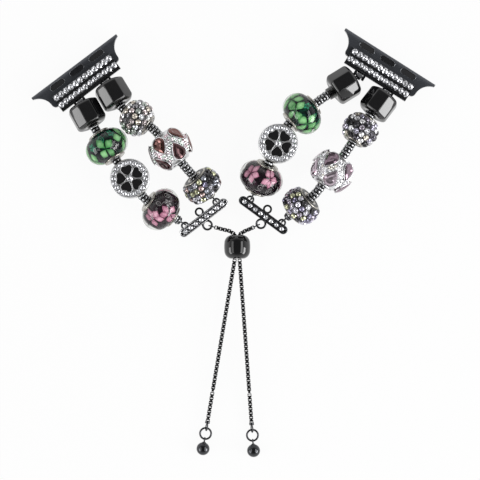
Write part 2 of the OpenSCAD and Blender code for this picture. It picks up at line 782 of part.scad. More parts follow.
module left_adapter() { adapter(0); }
module left_latch_button() { latch_button(0); }
module left_latch_spring() { latch_spring(0); }
module left_bumpers() { bumpers(0); }
module left_stone_bar() { stone_bar(0); }
module left_stone_bar_crystals() { stone_bar_crystals(0); }
module left_hinge_pins() { hinge_pins(0); }
module left_barrels() { barrels(0); }
module left_chain_row_1() { chain_row(0, 1); }
module left_chain_row_2() { chain_row(0, 2); }
module left_chain_row_3() { last_chain_row(0); }
module left_green_glass() { green_glass(0); }
module left_green_core() { green_core(0); }
module left_flower_disc() { flower_disc(0); }
module left_flower_disc_crystals() { flower_disc_crystals(0); }
module left_pink_glass() { pink_glass(0); }
module left_pink_core() { pink_core(0); }
module left_pave_ball() { pave_ball(0); }
module left_pave_ball_crystals() { pave_ball_crystals(0); }
module left_drop_bead() { drop_bead(0); }
module left_drop_bead_gems() { drop_bead_gems(0); }
module left_pave_rondelle() { pave_rondelle(0); }
module left_pave_rondelle_crystals() { pave_rondelle_crystals(0); }
module left_end_bar() { end_bar(0); }
module left_end_bar_crystals() { end_bar_crystals(0); }
module left_closure_chain() { closure_chain(0); }
module left_tail_upper() { tail_upper(0); }
module left_tail_lower() { tail_lower(0); }
module left_end_ball() { end_ball(0); }
module right_adapter() { adapter(1); }
module right_latch_button() { latch_button(1); }
module right_latch_spring() { latch_spring(1); }
module right_bumpers() { bumpers(1); }
module right_stone_bar() { stone_bar(1); }
module right_stone_bar_crystals() { stone_bar_crystals(1); }
module right_hinge_pins() { hinge_pins(1); }
module right_barrels() { barrels(1); }
module right_chain_row_1() { chain_row(1, 1); }
module right_chain_row_2() { chain_row(1, 2); }
module right_chain_row_3() { last_chain_row(1); }
module right_green_glass() { green_glass(1); }
module right_green_core() { green_core(1); }
module right_flower_disc() { flower_disc(1); }
module right_flower_disc_crystals() { flower_disc_crystals(1); }
module right_pink_glass() { pink_glass(1); }
module right_pink_core() { pink_core(1); }
module right_pave_ball() { pave_ball(1); }
module right_pave_ball_crystals() { pave_ball_crystals(1); }
module right_drop_bead() { drop_bead(1); }
module right_drop_bead_gems() { drop_bead_gems(1); }
module right_pave_rondelle() { pave_rondelle(1); }
module right_pave_rondelle_crystals() { pave_rondelle_crystals(1); }
module right_end_bar() { end_bar(1); }
module right_end_bar_crystals() { end_bar_crystals(1); }
module right_closure_chain() { closure_chain(1); }
module right_tail_upper() { tail_upper(1); }
module right_tail_lower() { tail_lower(1); }
module right_end_ball() { end_ball(1); }

left_adapter();
left_latch_button();
left_latch_spring();
left_bumpers();
left_stone_bar();
left_stone_bar_crystals();
left_hinge_pins();
left_barrels();
left_chain_row_1();
left_chain_row_2();
left_chain_row_3();
left_green_glass();
left_green_core();
left_flower_disc();
left_flower_disc_crystals();
left_pink_glass();
left_pink_core();
left_pave_ball();
left_pave_ball_crystals();
left_drop_bead();
left_drop_bead_gems();
left_pave_rondelle();
left_pave_rondelle_crystals();
left_end_bar();
left_end_bar_crystals();
left_closure_chain();
left_tail_upper();
left_tail_lower();
left_end_ball();
right_adapter();
right_latch_button();
right_latch_spring();
right_bumpers();
right_stone_bar();
right_stone_bar_crystals();
right_hinge_pins();
right_barrels();
right_chain_row_1();
right_chain_row_2();
right_chain_row_3();
right_green_glass();
right_green_core();
right_flower_disc();
right_flower_disc_crystals();
right_pink_glass();
right_pink_core();
right_pave_ball();
right_pave_ball_crystals();
right_drop_bead();
right_drop_bead_gems();
right_pave_rondelle();
right_pave_rondelle_crystals();
right_end_bar();
right_end_bar_crystals();
right_closure_chain();
right_tail_upper();
right_tail_lower();
right_end_ball();
slider_bead();
slider_core();
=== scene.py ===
import random
from math import acos, asin, atan2, cos, hypot, pi, radians, sin, sqrt, tan

import bmesh
import bpy
from mathutils import Matrix, Vector


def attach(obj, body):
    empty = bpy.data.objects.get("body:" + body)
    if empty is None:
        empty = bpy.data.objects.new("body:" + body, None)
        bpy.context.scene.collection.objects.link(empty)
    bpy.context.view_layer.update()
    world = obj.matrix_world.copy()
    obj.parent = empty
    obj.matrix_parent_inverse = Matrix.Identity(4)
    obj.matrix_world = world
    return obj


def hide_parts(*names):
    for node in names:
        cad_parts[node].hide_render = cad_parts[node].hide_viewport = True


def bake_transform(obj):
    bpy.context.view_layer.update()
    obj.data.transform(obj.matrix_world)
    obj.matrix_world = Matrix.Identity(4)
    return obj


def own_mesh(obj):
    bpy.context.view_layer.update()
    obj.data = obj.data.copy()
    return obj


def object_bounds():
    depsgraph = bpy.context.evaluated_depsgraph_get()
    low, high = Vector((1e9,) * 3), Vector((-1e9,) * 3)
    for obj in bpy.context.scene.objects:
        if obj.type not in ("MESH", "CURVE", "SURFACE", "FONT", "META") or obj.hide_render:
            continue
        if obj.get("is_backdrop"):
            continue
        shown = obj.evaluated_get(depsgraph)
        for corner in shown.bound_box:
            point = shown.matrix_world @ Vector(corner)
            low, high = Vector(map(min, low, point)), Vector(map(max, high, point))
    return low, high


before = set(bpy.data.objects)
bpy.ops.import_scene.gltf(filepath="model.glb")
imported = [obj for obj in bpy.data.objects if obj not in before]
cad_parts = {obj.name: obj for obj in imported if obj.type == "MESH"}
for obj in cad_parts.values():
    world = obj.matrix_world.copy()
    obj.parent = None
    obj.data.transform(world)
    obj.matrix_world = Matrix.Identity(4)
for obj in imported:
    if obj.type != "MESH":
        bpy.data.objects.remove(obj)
cad_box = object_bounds()
scene = bpy.context.scene

# The strap lies open on a white table. The camera looks straight down through a long lens,
# so the strap is drawn almost without perspective.
mm = 0.001
view_middle = (1.95 * mm, 1.04 * mm)
view_width = 146.3 * mm
view_distance = 0.9
strap_height = 5 * mm

camera_data = bpy.data.cameras.new("camera")
camera_data.sensor_width = 36
camera_data.lens = camera_data.sensor_width * view_distance / view_width
camera_data.clip_end = 10
camera = bpy.data.objects.new("camera", camera_data)
camera.location = (*view_middle, view_distance + strap_height)
scene.collection.objects.link(camera)
scene.camera = camera
scene.view_settings.view_transform = "Standard"


# The table is white paper. The eye, metal and glass see it as plain white, and a small share of
# its own shading stays, which leaves the strap its faint shadow.
def linear(code):
    """Linear colour of an sRGB hex code."""
    parts = [int(code[i:i + 2], 16) / 255 for i in (0, 2, 4)]
    return [c / 12.92 if c <= 0.04045 else ((c + 0.055) / 1.055) ** 2.4 for c in parts] + [1.0]


def feed(tree, node, inputs):
    """Gives a node its inputs. Each is a plain value or the socket that feeds it."""
    for name, value in inputs.items():
        if isinstance(value, bpy.types.NodeSocket):
            tree.links.new(value, node.inputs[name])
        else:
            node.inputs[name].default_value = value


def add(tree, kind, inputs=None, **settings):
    """A new node with its settings and its inputs."""
    node = tree.nodes.new(kind)
    for name, value in settings.items():
        setattr(node, name, value)
    feed(tree, node, inputs or {})
    return node


plain_share = 0.94
paper = bpy.data.materials.new("white_paper")
paper.use_nodes = True
tree = paper.node_tree
tree.nodes.clear()
path = add(tree, "ShaderNodeLightPath")
seen = add(tree, "ShaderNodeMath", {0: path.outputs["Is Camera Ray"], 1: path.outputs["Is Glossy Ray"]},
           operation="ADD")
seen = add(tree, "ShaderNodeMath", {0: seen.outputs[0], 1: path.outputs["Is Transmission Ray"]},
           operation="ADD", use_clamp=True)
share = add(tree, "ShaderNodeMath", {0: seen.outputs[0], 1: plain_share}, operation="MULTIPLY")
sheet = add(tree, "ShaderNodeBsdfDiffuse", {"Color": linear("f2f2f2")})
bright = add(tree, "ShaderNodeEmission", {"Color": linear("ffffff"), "Strength": 1.0})
mixed = add(tree, "ShaderNodeMixShader",
            {0: share.outputs[0], 1: sheet.outputs[0], 2: bright.outputs[0]})
add(tree, "ShaderNodeOutputMaterial", {"Surface": mixed.outputs[0]})

table_half = 3.0
table_mesh = bpy.data.meshes.new("table")
table_mesh.from_pydata(
    [(-table_half, -table_half, 0), (table_half, -table_half, 0),
     (table_half, table_half, 0), (-table_half, table_half, 0)], [], [(0, 1, 2, 3)])
table_mesh.materials.append(paper)
table = bpy.data.objects.new("table", table_mesh)
scene.collection.objects.link(table)
table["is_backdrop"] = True

# Studio light: a dim ceiling that grows bright towards the horizon. Two low softboxes, left and
# right and a little in front, draw the bright flats on the black barrels, and two higher ones
# draw the windows on the sliding bead. The right ones are the stronger.
world = bpy.data.worlds.new("studio")
world.use_nodes = True
scene.world = world
tree = world.node_tree
tree.nodes.clear()
ceiling = 0.13
horizon = 0.95
softboxes = (("left_low_softbox", (-0.66, -0.26, 0.28), 0.5, 0.26, 4.0),
             ("right_low_softbox", (0.66, -0.26, 0.28), 0.5, 0.26, 8.0),
             ("left_window", (-0.55, -0.06, 0.62), 0.8, 0.27, 1.5),
             ("right_window", (0.55, -0.06, 0.62), 0.8, 0.27, 3.0))
place = add(tree, "ShaderNodeTexCoord")
split = add(tree, "ShaderNodeSeparateXYZ", {0: place.outputs["Generated"]})
level = add(tree, "ShaderNodeMapRange",
            {"Value": split.outputs["Z"], "From Min": 0.05, "From Max": 0.85,
             "To Min": horizon, "To Max": ceiling}, interpolation_type="SMOOTHSTEP")
path = add(tree, "ShaderNodeLightPath")
level = add(tree, "ShaderNodeMath",
            {0: level.outputs[0], 1: path.outputs["Is Camera Ray"]}, operation="MAXIMUM")
sky = add(tree, "ShaderNodeBackground", {"Color": linear("ffffff"), "Strength": level.outputs[0]})
add(tree, "ShaderNodeOutputWorld", {"Surface": sky.outputs[0]})

for name, spot, wide, high, radiance in softboxes:
    lamp = bpy.data.lights.new(name, "AREA")
    lamp.shape = "RECTANGLE"
    lamp.size = wide
    lamp.size_y = high
    lamp.energy = radiance * pi * wide * high
    softbox = bpy.data.objects.new(name, lamp)
    softbox.location = spot
    softbox.rotation_euler = Vector(spot).to_track_quat("Z", "Y").to_euler()
    softbox.visible_camera = False
    scene.collection.objects.link(softbox)

# Adapters: slide-in end pieces of black anodised aluminium, bead blasted before they are dyed,
# which leaves a satin face with a blue-grey sheen. They are milled in one piece each, and
# they keep the CAD solid with its edges broken.
sides = ("left", "right")
adapter_mid = (Vector((-48.85, 54.2, 0)), Vector((47.95, 57.1, 0)))
adapter_turn = (radians(217), radians(147.6))
adapter_top = 4.8


def move(x, y, z=0.0):
    """A shift in millimetres."""
    return Matrix.Translation((x, y, z))


def spin(angle, axis):
    """A turn about one axis."""
    return Matrix.Rotation(angle, 4, axis)


def adapter_frame(side):
    """Local y runs from the watch to the strap. All frames are in millimetres."""
    return move(*adapter_mid[side]) @ spin(adapter_turn[side], "Z")


def start_material(name):
    """A new material with its tree and its Principled node."""
    material = bpy.data.materials.new(name)
    material.use_nodes = True
    return material, material.node_tree, material.node_tree.nodes["Principled BSDF"]


def finish_node(name, material, edge=0.0):
    """Gives a CAD node its finish, and softens its edges by that many millimetres."""
    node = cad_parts[name]
    node.data.materials.clear()
    node.data.materials.append(material)
    if edge:
        bevel = node.modifiers.new("broken_edges", "BEVEL")
        bevel.width = edge * mm
        bevel.segments = 2
        bevel.limit_method = "ANGLE"
        bevel.angle_limit = radians(35)
        bevel.harden_normals = True


def two_tones(name, grain, detail, dark, light, levels):
    """A material that drifts between two tones in patches of that many millimetres."""
    material, tree, shader = start_material(name)
    where = add(tree, "ShaderNodeTexCoord")
    patch = add(tree, "ShaderNodeTexNoise",
                {"Vector": where.outputs["Object"], "Scale": 1 / (grain * mm), "Detail": detail})
    tone = add(tree, "ShaderNodeMix", {0: patch.outputs["Fac"], 6: linear(dark), 7: linear(light)},
               data_type="RGBA")
    feed(tree, shader, {"Base Color": tone.outputs[2], **levels})
    return material, tree, shader, patch, tone


# The blasting grit leaves dimples and an uneven gloss, drawn coarser than they are so that they
# show. The dye takes in faint clouds.
blasted, tree, shader, *_ = two_tones(
    "black_anodised_aluminium_blasted", 6, 2.0, "45474c", "56595f", {"Metallic": 0.75})
where = add(tree, "ShaderNodeTexCoord")
grit = add(tree, "ShaderNodeTexNoise",
           {"Vector": where.outputs["Object"], "Scale": 1 / (0.25 * mm), "Detail": 3.0})
worn = add(tree, "ShaderNodeMapRange",
           {"Value": grit.outputs["Fac"], "From Min": 0.3, "From Max": 0.7,
            "To Min": 0.38, "To Max": 0.5})
dimple = add(tree, "ShaderNodeBump",
             {"Height": grit.outputs["Fac"], "Strength": 0.15, "Distance": 0.02 * mm})
feed(tree, shader, {"Roughness": worn.outputs[0], "Normal": dimple.outputs[0]})
for side in sides:
    finish_node(side + "_adapter", blasted, 0.25)

# Latch button and bumper pads: the button is a smooth black anodised pin, held up by a small
# spring of bright drawn steel. The pads are moulded black silicone rubber, which is dull. The
# two hinge pins in the strap edge of the stone bar are of the same steel as the spring.
anodised = two_tones("black_anodised_button", 0.8, 4.0, "2c2d30", "4c4d51",
                     {"Metallic": 0.8, "Roughness": 0.25})[0]
silicone = two_tones("moulded_black_silicone", 0.15, 2.0, "1d1d1f", "2a2a2c",
                     {"Roughness": 0.6, "IOR": 1.41})[0]
spring_steel = two_tones("drawn_spring_steel", 0.1, 2.0, "9a9c9e", "c2c3c5",
                         {"Metallic": 1.0, "Roughness": 0.3})[0]
for side in sides:
    finish_node(side + "_latch_button", anodised, 0.12)
    finish_node(side + "_bumpers", silicone, 0.12)
    finish_node(side + "_hinge_pins", spring_steel, 0.05)

# Opening edges: thin raised lines of light metal round the three openings in each adapter. Their light
# colour is a painted highlight along the rims.
opening_at = (-7.4, 0, 7.4)
opening_long = (5.2, 5.0, 5.2)
opening_wide = (1.85, 1.7, 1.85)
opening_y = 1.75
edge_wire = 0.08
# Light metal for the painted highlight round the openings.
opening_edge_highlight_metal = two_tones("painted_highlight_anodised_edge", 1.5, 3.0, "5c5e62", "a8aaae",
                        {"Metallic": 1.0, "Roughness": 0.3})[0]

# Stone bars: cast zinc alloy, polished and plated with black nickel, which the trade calls
# gunmetal. Two rows of twelve foiled glass chatons stand in it, with small cast grains
# between them.
gunmetal, tree, shader, cast, _ = two_tones(
    "black_nickel_plated_alloy", 0.5, 3.0, "3c3d3f", "66676a", {"Metallic": 1.0})
polish = add(tree, "ShaderNodeMapRange",
             {"Value": cast.outputs["Fac"], "From Min": 0.3, "From Max": 0.7,
              "To Min": 0.14, "To Max": 0.26})
feed(tree, shader, {"Roughness": polish.outputs[0]})

# Foiled crystal: cut lead glass with a silver foil behind. The foil mirrors like metal, so
# the stone is drawn as a bright mirror whose facets carry the tint of its glass.
crystal, tree, shader = start_material("foiled_lead_crystal")
tint = add(tree, "ShaderNodeAttribute", attribute_name="tint")
feed(tree, shader, {"Base Color": tint.outputs["Color"], "Metallic": 0.9, "Roughness": 0.06,
                    "Coat Weight": 0.6, "Coat Roughness": 0.02, "Coat IOR": 1.57})


def put_piece(name, shape, material, body, slot, replaced=(), smooth=True):
    """A piece of the strap from points in millimetres. It rides on its body."""
    points, faces = shape
    mesh = bpy.data.meshes.new(name)
    mesh.from_pydata([Vector(p) * mm for p in points], [], faces)
    mesh.materials.append(material)
    mesh.polygons.foreach_set("use_smooth", [smooth] * len(mesh.polygons))
    outwards = bmesh.new()
    outwards.from_mesh(mesh)
    bmesh.ops.recalc_face_normals(outwards, faces=outwards.faces)
    outwards.to_mesh(mesh)
    outwards.free()
    made = bpy.data.objects.new(name, mesh)
    scene.collection.objects.link(made)
    if body:
        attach(made, body)
    if replaced:
        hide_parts(*replaced)
    return made


class Heap:
    """Points and faces of many small parts, joined into one piece."""

    def __init__(self):
        self.points = []
        self.faces = []
        self.tints = []

    def __iter__(self):
        return iter((self.points, self.faces))

    def put(self, shape, place=Matrix(), tint=(1, 1, 1, 1)):
        points, faces = shape
        first = len(self.points)
        self.points += [place @ Vector(p) for p in points]
        self.faces += [[first + i for i in face] for face in faces]
        self.tints += [tint] * len(faces)


def put_stones(name, heap, body, slot, replaced=()):
    """Stones with the tint of each one on its facets."""
    made = put_piece(name, heap, crystal, body, slot, replaced, smooth=False)
    tints = made.data.attributes.new("tint", "FLOAT_COLOR", "CORNER")
    corner_tints = []
    for face, value in zip(heap.faces, heap.tints):
        corner_tints += list(value) * len(face)
    tints.data.foreach_set("color", corner_tints)
    return made


def fan(first, count, tip):
    """Triangles from a ring of points, whose first number is given, to a single point."""
    return [(first + i, first + (i + 1) % count, tip) for i in range(count)]


def cut_stone(radius, height, sides=8):
    """A cut stone that stands on z 0: girdle, crown facets, and a table with the star of its back."""
    rings = ((1.0, -0.35, 0.0), (1.0, 0.12, 0.0), (0.84, 0.6, 0.5), (0.56, 1.0, 0.0), (0.3, 0.75, 0.5))
    points = []
    for share, z, shift in rings:
        for i in range(sides):
            angle = 2 * pi * (i + shift) / sides
            points.append((radius * share * cos(angle), radius * share * sin(angle), height * z))
    points.append((0, 0, height * 0.9125))
    a, b, c, d = (sides * ring for ring in (1, 2, 3, 4))
    faces = [tuple(range(sides - 1, -1, -1))] + fan(d, sides, len(points) - 1)
    for i in range(sides):
        j = (i + 1) % sides
        faces += [(i, j, a + j, a + i), (a + i, a + j, b + i), (a + j, b + j, b + i),
                  (b + i, c + j, c + i), (b + i, b + j, c + j), (c + i, c + j, d + i),
                  (c + j, d + j, d + i)]
    return points, faces


def circle(count):
    """Sine and cosine of even steps round a circle."""
    return [(sin(2 * pi * j / count), cos(2 * pi * j / count)) for j in range(count)]


def skin(rings, closed_path=False, caps=False):
    """Faces between rings of equally many points."""
    points = [p for ring in rings for p in ring]
    count = len(rings[0])
    faces = []
    for i in range(len(rings) if closed_path else len(rings) - 1):
        a = i * count
        b = (i + 1) % len(rings) * count
        for j in range(count):
            k = (j + 1) % count
            faces.append((a + j, b + j, b + k, a + k))
    if caps:
        faces.append(tuple(range(count)))
        faces.append(tuple(range(len(points) - 1, len(points) - count - 1, -1)))
    return points, faces


def ball(radius, rows=6, turns=8):
    """A small round grain."""
    rings = []
    for i in range(1, rows):
        wide, high = radius * sin(pi * i / rows), radius * cos(pi * i / rows)
        rings.append([(wide * c, wide * s, high) for s, c in circle(turns)])
    points, faces = skin(rings)
    count = len(points)
    faces += fan(0, turns, count) + fan(count - turns, turns, count + 1)
    return points + [(0, 0, radius), (0, 0, -radius)], faces


def oval(long, wide, z=0.0):
    """An outline with straight sides and round ends, in the plane at that height."""
    outline = []
    for sign in (1, -1):
        for i in range(13):
            a = radians(-90 + 15 * i) + (0 if sign > 0 else pi)
            outline.append(Vector((sign * (long - wide) / 2 + wide / 2 * cos(a),
                                   wide / 2 * sin(a), z)))
    return outline


def wire_round(outline, wide, high):
    """A raised line along a closed outline in the plane, with half its width and height."""
    rings = []
    for k, p in enumerate(outline):
        ahead = (outline[(k + 1) % len(outline)] - outline[k - 1]).normalized()
        across = Vector((-ahead.y, ahead.x, 0))
        rings.append([p + across * wide * c + Vector((0, 0, high * s)) for s, c in circle(8)])
    return skin(rings, closed_path=True)


def coil_shape(radius, wire, turns, low, high):
    """A coil spring of round wire that stands on z low and reaches up to z high."""
    rings = []
    steps = 16 * turns
    for i in range(steps + 1):
        a = pi / 8 * i
        z = low + wire + (high - low - 2 * wire) * i / steps
        rings.append([((radius + wire * c) * cos(a), (radius + wire * c) * sin(a), z + wire * s)
                      for s, c in circle(8)])
    return skin(rings, caps=True)


spring_r = 0.6
spring_wire = 0.09
spring_turns = 3
spring_floor = 1.9
spring_top = 2.9
spring_pressed = 0.38
for side, name in enumerate(sides):
    body = name + "_adapter_body"
    place = adapter_frame(side) @ move(0, opening_y)
    coil = Heap()
    coil.put(coil_shape(spring_r, spring_wire, spring_turns, spring_floor, spring_top), place)
    made = put_piece(name + "_latch_coil", coil, spring_steel, body, "spring_steel",
                     [name + "_latch_spring"])
    name + "_latch_press"
    place @ Vector((0, 0, spring_floor)) * mm
    spring_pressed / (spring_top - spring_floor)
    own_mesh(made)
    edges = Heap()
    for x, long, wide in zip(opening_at, opening_long, opening_wide):
        edges.put(wire_round(oval(long, wide), edge_wire, edge_wire),
                  adapter_frame(side) @ move(x, opening_y, adapter_top))
    put_piece(name + "_opening_edges", edges, opening_edge_highlight_metal, body, "adapter_black")

random.seed(7)


def set_down(x, y, z):
    """A place for a stone, turned at random and tipped a little, as hand-set stones are."""
    return (move(x, y, z) @ spin(random.uniform(0, pi), "Z")
            @ spin(radians(random.uniform(-7, 7)), "X")
            @ spin(radians(random.uniform(-7, 7)), "Y"))


bar_top = adapter_top + 1.6
bar_rows = (4.9, 7.45)
bar_pitch = 1.8
bar_stones = 12
bar_stone_r = 1.0
stone_height = 0.45
grain_r = 0.24
grain_side = 0.84
bar_grain_pitch = bar_pitch * 0.99
bar_grain_z = bar_top + 0.08
clear = linear("cdced2")


def stone_row(stones, grains, place, count, pitch, stone_r, y, top, grain_pitch, beside, grain_z):
    """A row of chatons along local x, with a grain on both sides of every gap and end."""
    for i in range(count):
        x = (i - (count - 1) / 2) * pitch
        stones.put(cut_stone(stone_r, stone_height), place @ set_down(x, y, top), clear)
    for i in range(count + 1):
        for across in (y - beside, y + beside):
            grains.put(ball(grain_r), place @ move((i - count / 2) * grain_pitch, across, grain_z))


for side, name in enumerate(sides):
    stones, grains = Heap(), Heap()
    for row in bar_rows:
        stone_row(stones, grains, adapter_frame(side), bar_stones, bar_pitch, bar_stone_r, row, bar_top,
                  bar_grain_pitch, grain_side, bar_grain_z)
    finish_node(name + "_stone_bar", gunmetal, 0.1)
    body = name + "_adapter_body"
    put_stones(name + "_bar_stones", stones, body, "crystal_clear", [name + "_stone_bar_crystals"])
    put_piece(name + "_bar_grains", grains, gunmetal, body, "gunmetal")

# Black barrels: solid eight-sided beads of polished black ceramic, ground flat and then
# buffed, so each flat mirrors one part of the room and its corners draw thin white lines.
# Two hang from each stone bar on short lengths of the ribbed chain.
hinge_local = (Vector((5.0, 10.2, 4.8)), Vector((-5.0, 10.2, 4.8)))
ring_local = (Vector((-6.0, 2.5, 5.0)), Vector((6.0, 2.5, 5.0)))
end_bar_mid = (Vector((-9.1, 7.8, 0)), Vector((9.0, 8.6, 0)))
end_bar_turn = (radians(37.2), radians(-36.2))
chains = ("outer", "inner")
middle_bends = (
    (((-41.6, 34.0, 6.3), (-35.5, 25.1, 7.8), (-26.9, 13.4, 8.4)),
     ((-33.9, 41.1, 6.3), (-24.3, 34.8, 7.8), (-14.5, 23.0, 8.4))),
    (((27.2, 44.3, 6.3), (16.4, 36.2, 7.8), (10.6, 24.4, 8.4)),
     ((41.3, 38.8, 6.3), (34.1, 27.7, 7.8), (25.0, 15.2, 8.4))),
)


def end_bar_frame(side):
    """Local y runs from the end bar to the beads."""
    return move(*end_bar_mid[side]) @ spin(end_bar_turn[side], "Z")


def bend(side, chain, k):
    """The five bends of a chain, from the hinge at the stone bar to the ring at the end bar."""
    if k == 0:
        return adapter_frame(side) @ hinge_local[chain]
    if k == 4:
        return end_bar_frame(side) @ ring_local[chain]
    return Vector(middle_bends[side][chain][k - 1])


def along(a, b):
    """Origin at a and local x towards b, with local z upwards."""
    ahead = (b - a).normalized()
    across = Vector((0, 0, 1)).cross(ahead).normalized()
    turn = Matrix((ahead, across, ahead.cross(across))).transposed().to_4x4()
    return move(*a) @ turn


# The polish is wiped on, so its gloss varies a little from place to place.
black_ceramic, tree, shader, haze, _ = two_tones(
    "polished_black_ceramic", 1.5, 4.0, "0b0b0c", "161618", {"IOR": 1.68})
polish = add(tree, "ShaderNodeMapRange",
             {"Value": haze.outputs["Fac"], "From Min": 0.35, "From Max": 0.7,
              "To Min": 0.02, "To Max": 0.1})
feed(tree, shader, {"Roughness": polish.outputs[0]})

barrel_flat = 4.71
barrel_half = 3.9
barrel_corner = 0.5
barrel_round = 1.3
barrel_face = 3.2
hinge_recess_r = 2.7
hinge_recess_to = 2.7
recess_floor_r = 1.3
knuckle_recess_r = 1.9
knuckle_recess_from = 1.85
barrel_at = ((4.4, 4.2), (5.6, 4.3))
barrel_roll = (radians(10), radians(-10))
flat_steps = 6
flat_crown = 0.03


def eight_sides(flat, corner, roll):
    """Outline of a bar with eight slightly crowned flats and rounded corners, across local x."""
    outline = []
    half_turn = pi / 8
    reach = flat - corner
    edge = reach * tan(half_turn)
    for side_number in range(8):
        middle = roll + side_number * pi / 4
        for i in range(flat_steps):
            t = (i + 0.5) / flat_steps * 2 - 1
            crown = flat_crown * (1 - t * t)
            y, z = edge * t, flat + crown
            outline.append((y * cos(middle) + z * sin(middle),
                            -y * sin(middle) + z * cos(middle)))
        for i in range(1, 4):
            turn = middle + half_turn + (i / 4 - 0.5) * 2 * half_turn
            away = reach / cos(half_turn)
            y = away * sin(middle + half_turn) + corner * sin(turn)
            z = away * cos(middle + half_turn) + corner * cos(turn)
            outline.append((y, z))
    return outline


def barrel_end(outline, hole, floor):
    """Rings of one barrel end, from the floor of its recess over the round to the flats."""
    turns = [atan2(y, z) for y, z in outline]
    rings = []
    for x, r in ((floor, recess_floor_r), (floor, hole - 0.1), (-barrel_half + 0.12, hole),
                 (-barrel_half, hole + 0.12)):
        rings.append([(x, r * sin(a), r * cos(a)) for a in turns])
    steps = 7
    for i in range(steps + 1):
        rise = sin(pi / 2 * i / steps)
        x = -barrel_half + barrel_round * (1 - cos(pi / 2 * i / steps))
        r = barrel_face + (barrel_flat - barrel_face) * rise
        ring = []
        for a, (y, z) in zip(turns, outline):
            even = (r * sin(a), r * cos(a))
            cut = (y * r / barrel_flat, z * r / barrel_flat)
            ring.append((x, even[0] + (cut[0] - even[0]) * rise, even[1] + (cut[1] - even[1]) * rise))
        rings.append(ring)
    return rings


def barrel_shape(roll, at, span):
    """A barrel along local x: a wide recess round its hinge, and a narrow one round its chain."""
    outline = eight_sides(barrel_flat, barrel_corner, roll)
    rings = barrel_end(outline, hinge_recess_r, hinge_recess_to - at)
    far = barrel_end(outline, knuckle_recess_r, at - (span - knuckle_recess_from))
    rings += [[(-x, y, z) for x, y, z in ring] for ring in reversed(far)]
    return skin(rings)


# The ribbed chain is steel in black nickel plate, drawn as light metal with painted shade darkening its
# grooves, so that its ribs stand out bright.
chain_r = 1.5
chain_step = 0.125
rib_pitch = 1.0
rib_depth = 0.2
groove_shade_from = 0.16
groove_shade_gain = 3.5
chain_metal, tree, shader, _, tone = two_tones(
    "black_nickel_plated_steel_chain", 0.4, 2.0, "9a9b9f", "e2e3e5",
    {"Metallic": 1.0, "Roughness": 0.24})
# The groove attribute turns the colour towards black deep in the grooves: painted shade.
groove = add(tree, "ShaderNodeAttribute", attribute_name="groove")
dark = add(tree, "ShaderNodeMix",
           {0: groove.outputs["Fac"], 6: tone.outputs[2], 7: linear("070708")}, data_type="RGBA")
feed(tree, shader, {"Base Color": dark.outputs[2]})


def corner_path(a, corner, b, round_off=1.4):
    """Points from a over a rounded corner to b, one chain step apart."""
    into = (corner - a).normalized()
    out = (b - corner).normalized()
    one, two = corner - into * round_off, corner + out * round_off
    dense = [a.lerp(one, i / 60) for i in range(60)]
    dense += [one.lerp(corner, t / 20).lerp(corner.lerp(two, t / 20), t / 20) for t in range(20)]
    dense += [two.lerp(b, i / 60) for i in range(61)]
    return even_path(dense, chain_step)


def even_path(dense, step):
    """The same path with points one step apart."""
    points = [dense[0]]
    left = step
    for p, q in zip(dense, dense[1:]):
        length = (q - p).length
        while length >= left:
            p = p.lerp(q, left / length)
            length = (q - p).length
            points.append(p)
            left = step
        left -= length
    points.append(dense[-1])
    return points


def ribbed_tube(path, radius=chain_r, around=32):
    """The ribbed chain: rings of eight plates, each ring turned half a plate from the last."""
    rings = []
    depths = []
    run = 0.0
    for i, p in enumerate(path):
        ahead = (path[min(i + 1, len(path) - 1)] - path[max(i - 1, 0)]).normalized()
        across = Vector((0, 0, 1)).cross(ahead).normalized()
        up = ahead.cross(across)
        if i:
            run += (p - path[i - 1]).length
        phase = run / rib_pitch % 1.0
        shift = int(run / rib_pitch) % 2 * pi / 8
        rib = max(0.0, sin(pi * phase)) ** 0.6
        ring = []
        for j in range(around):
            turn = 2 * pi * j / around
            plate = abs(cos(4 * (turn + shift))) ** 0.5
            depth = 1 - rib * (0.55 + 0.45 * plate)
            depths.append(depth)
            r = radius * (1 - rib_depth * depth)
            ring.append(p + across * r * sin(turn) + up * r * cos(turn))
        rings.append(ring)
    points, faces = skin(rings, caps=True)
    return points, faces, depths


def put_chain(name, path, replaced, body=None):
    """A length of ribbed chain with painted shade in its grooves."""
    points, faces, depths = ribbed_tube(path)
    made = put_piece(name, (points, faces), chain_metal, body, "chain_dark", replaced)
    grooves = made.data.attributes.new("groove", "FLOAT", "POINT")
    # How deep in a groove each point lies sets its painted shade.
    groove_shade = [min(1.0, max(0.0, (depth - groove_shade_from) * groove_shade_gain)) for depth in depths]
    grooves.data.foreach_set("value", groove_shade)
    return made


def ring_shape(radius, wire, place, around=32, thick=10):
    """A closed wire ring in its own xy plane."""
    rings = [[place @ Vector(((radius + wire * c) * cosine, (radius + wire * c) * sine, wire * s))
              for s, c in circle(thick)] for sine, cosine in circle(around)]
    return skin(rings, closed_path=True)


def turned_shape(profile, place, around=48):
    """A shape turned round local x from pairs of a place along x and a radius."""
    rings = [[place @ Vector((x, r * s, r * c)) for s, c in circle(around)] for x, r in profile]
    return skin(rings, closed_path=True)


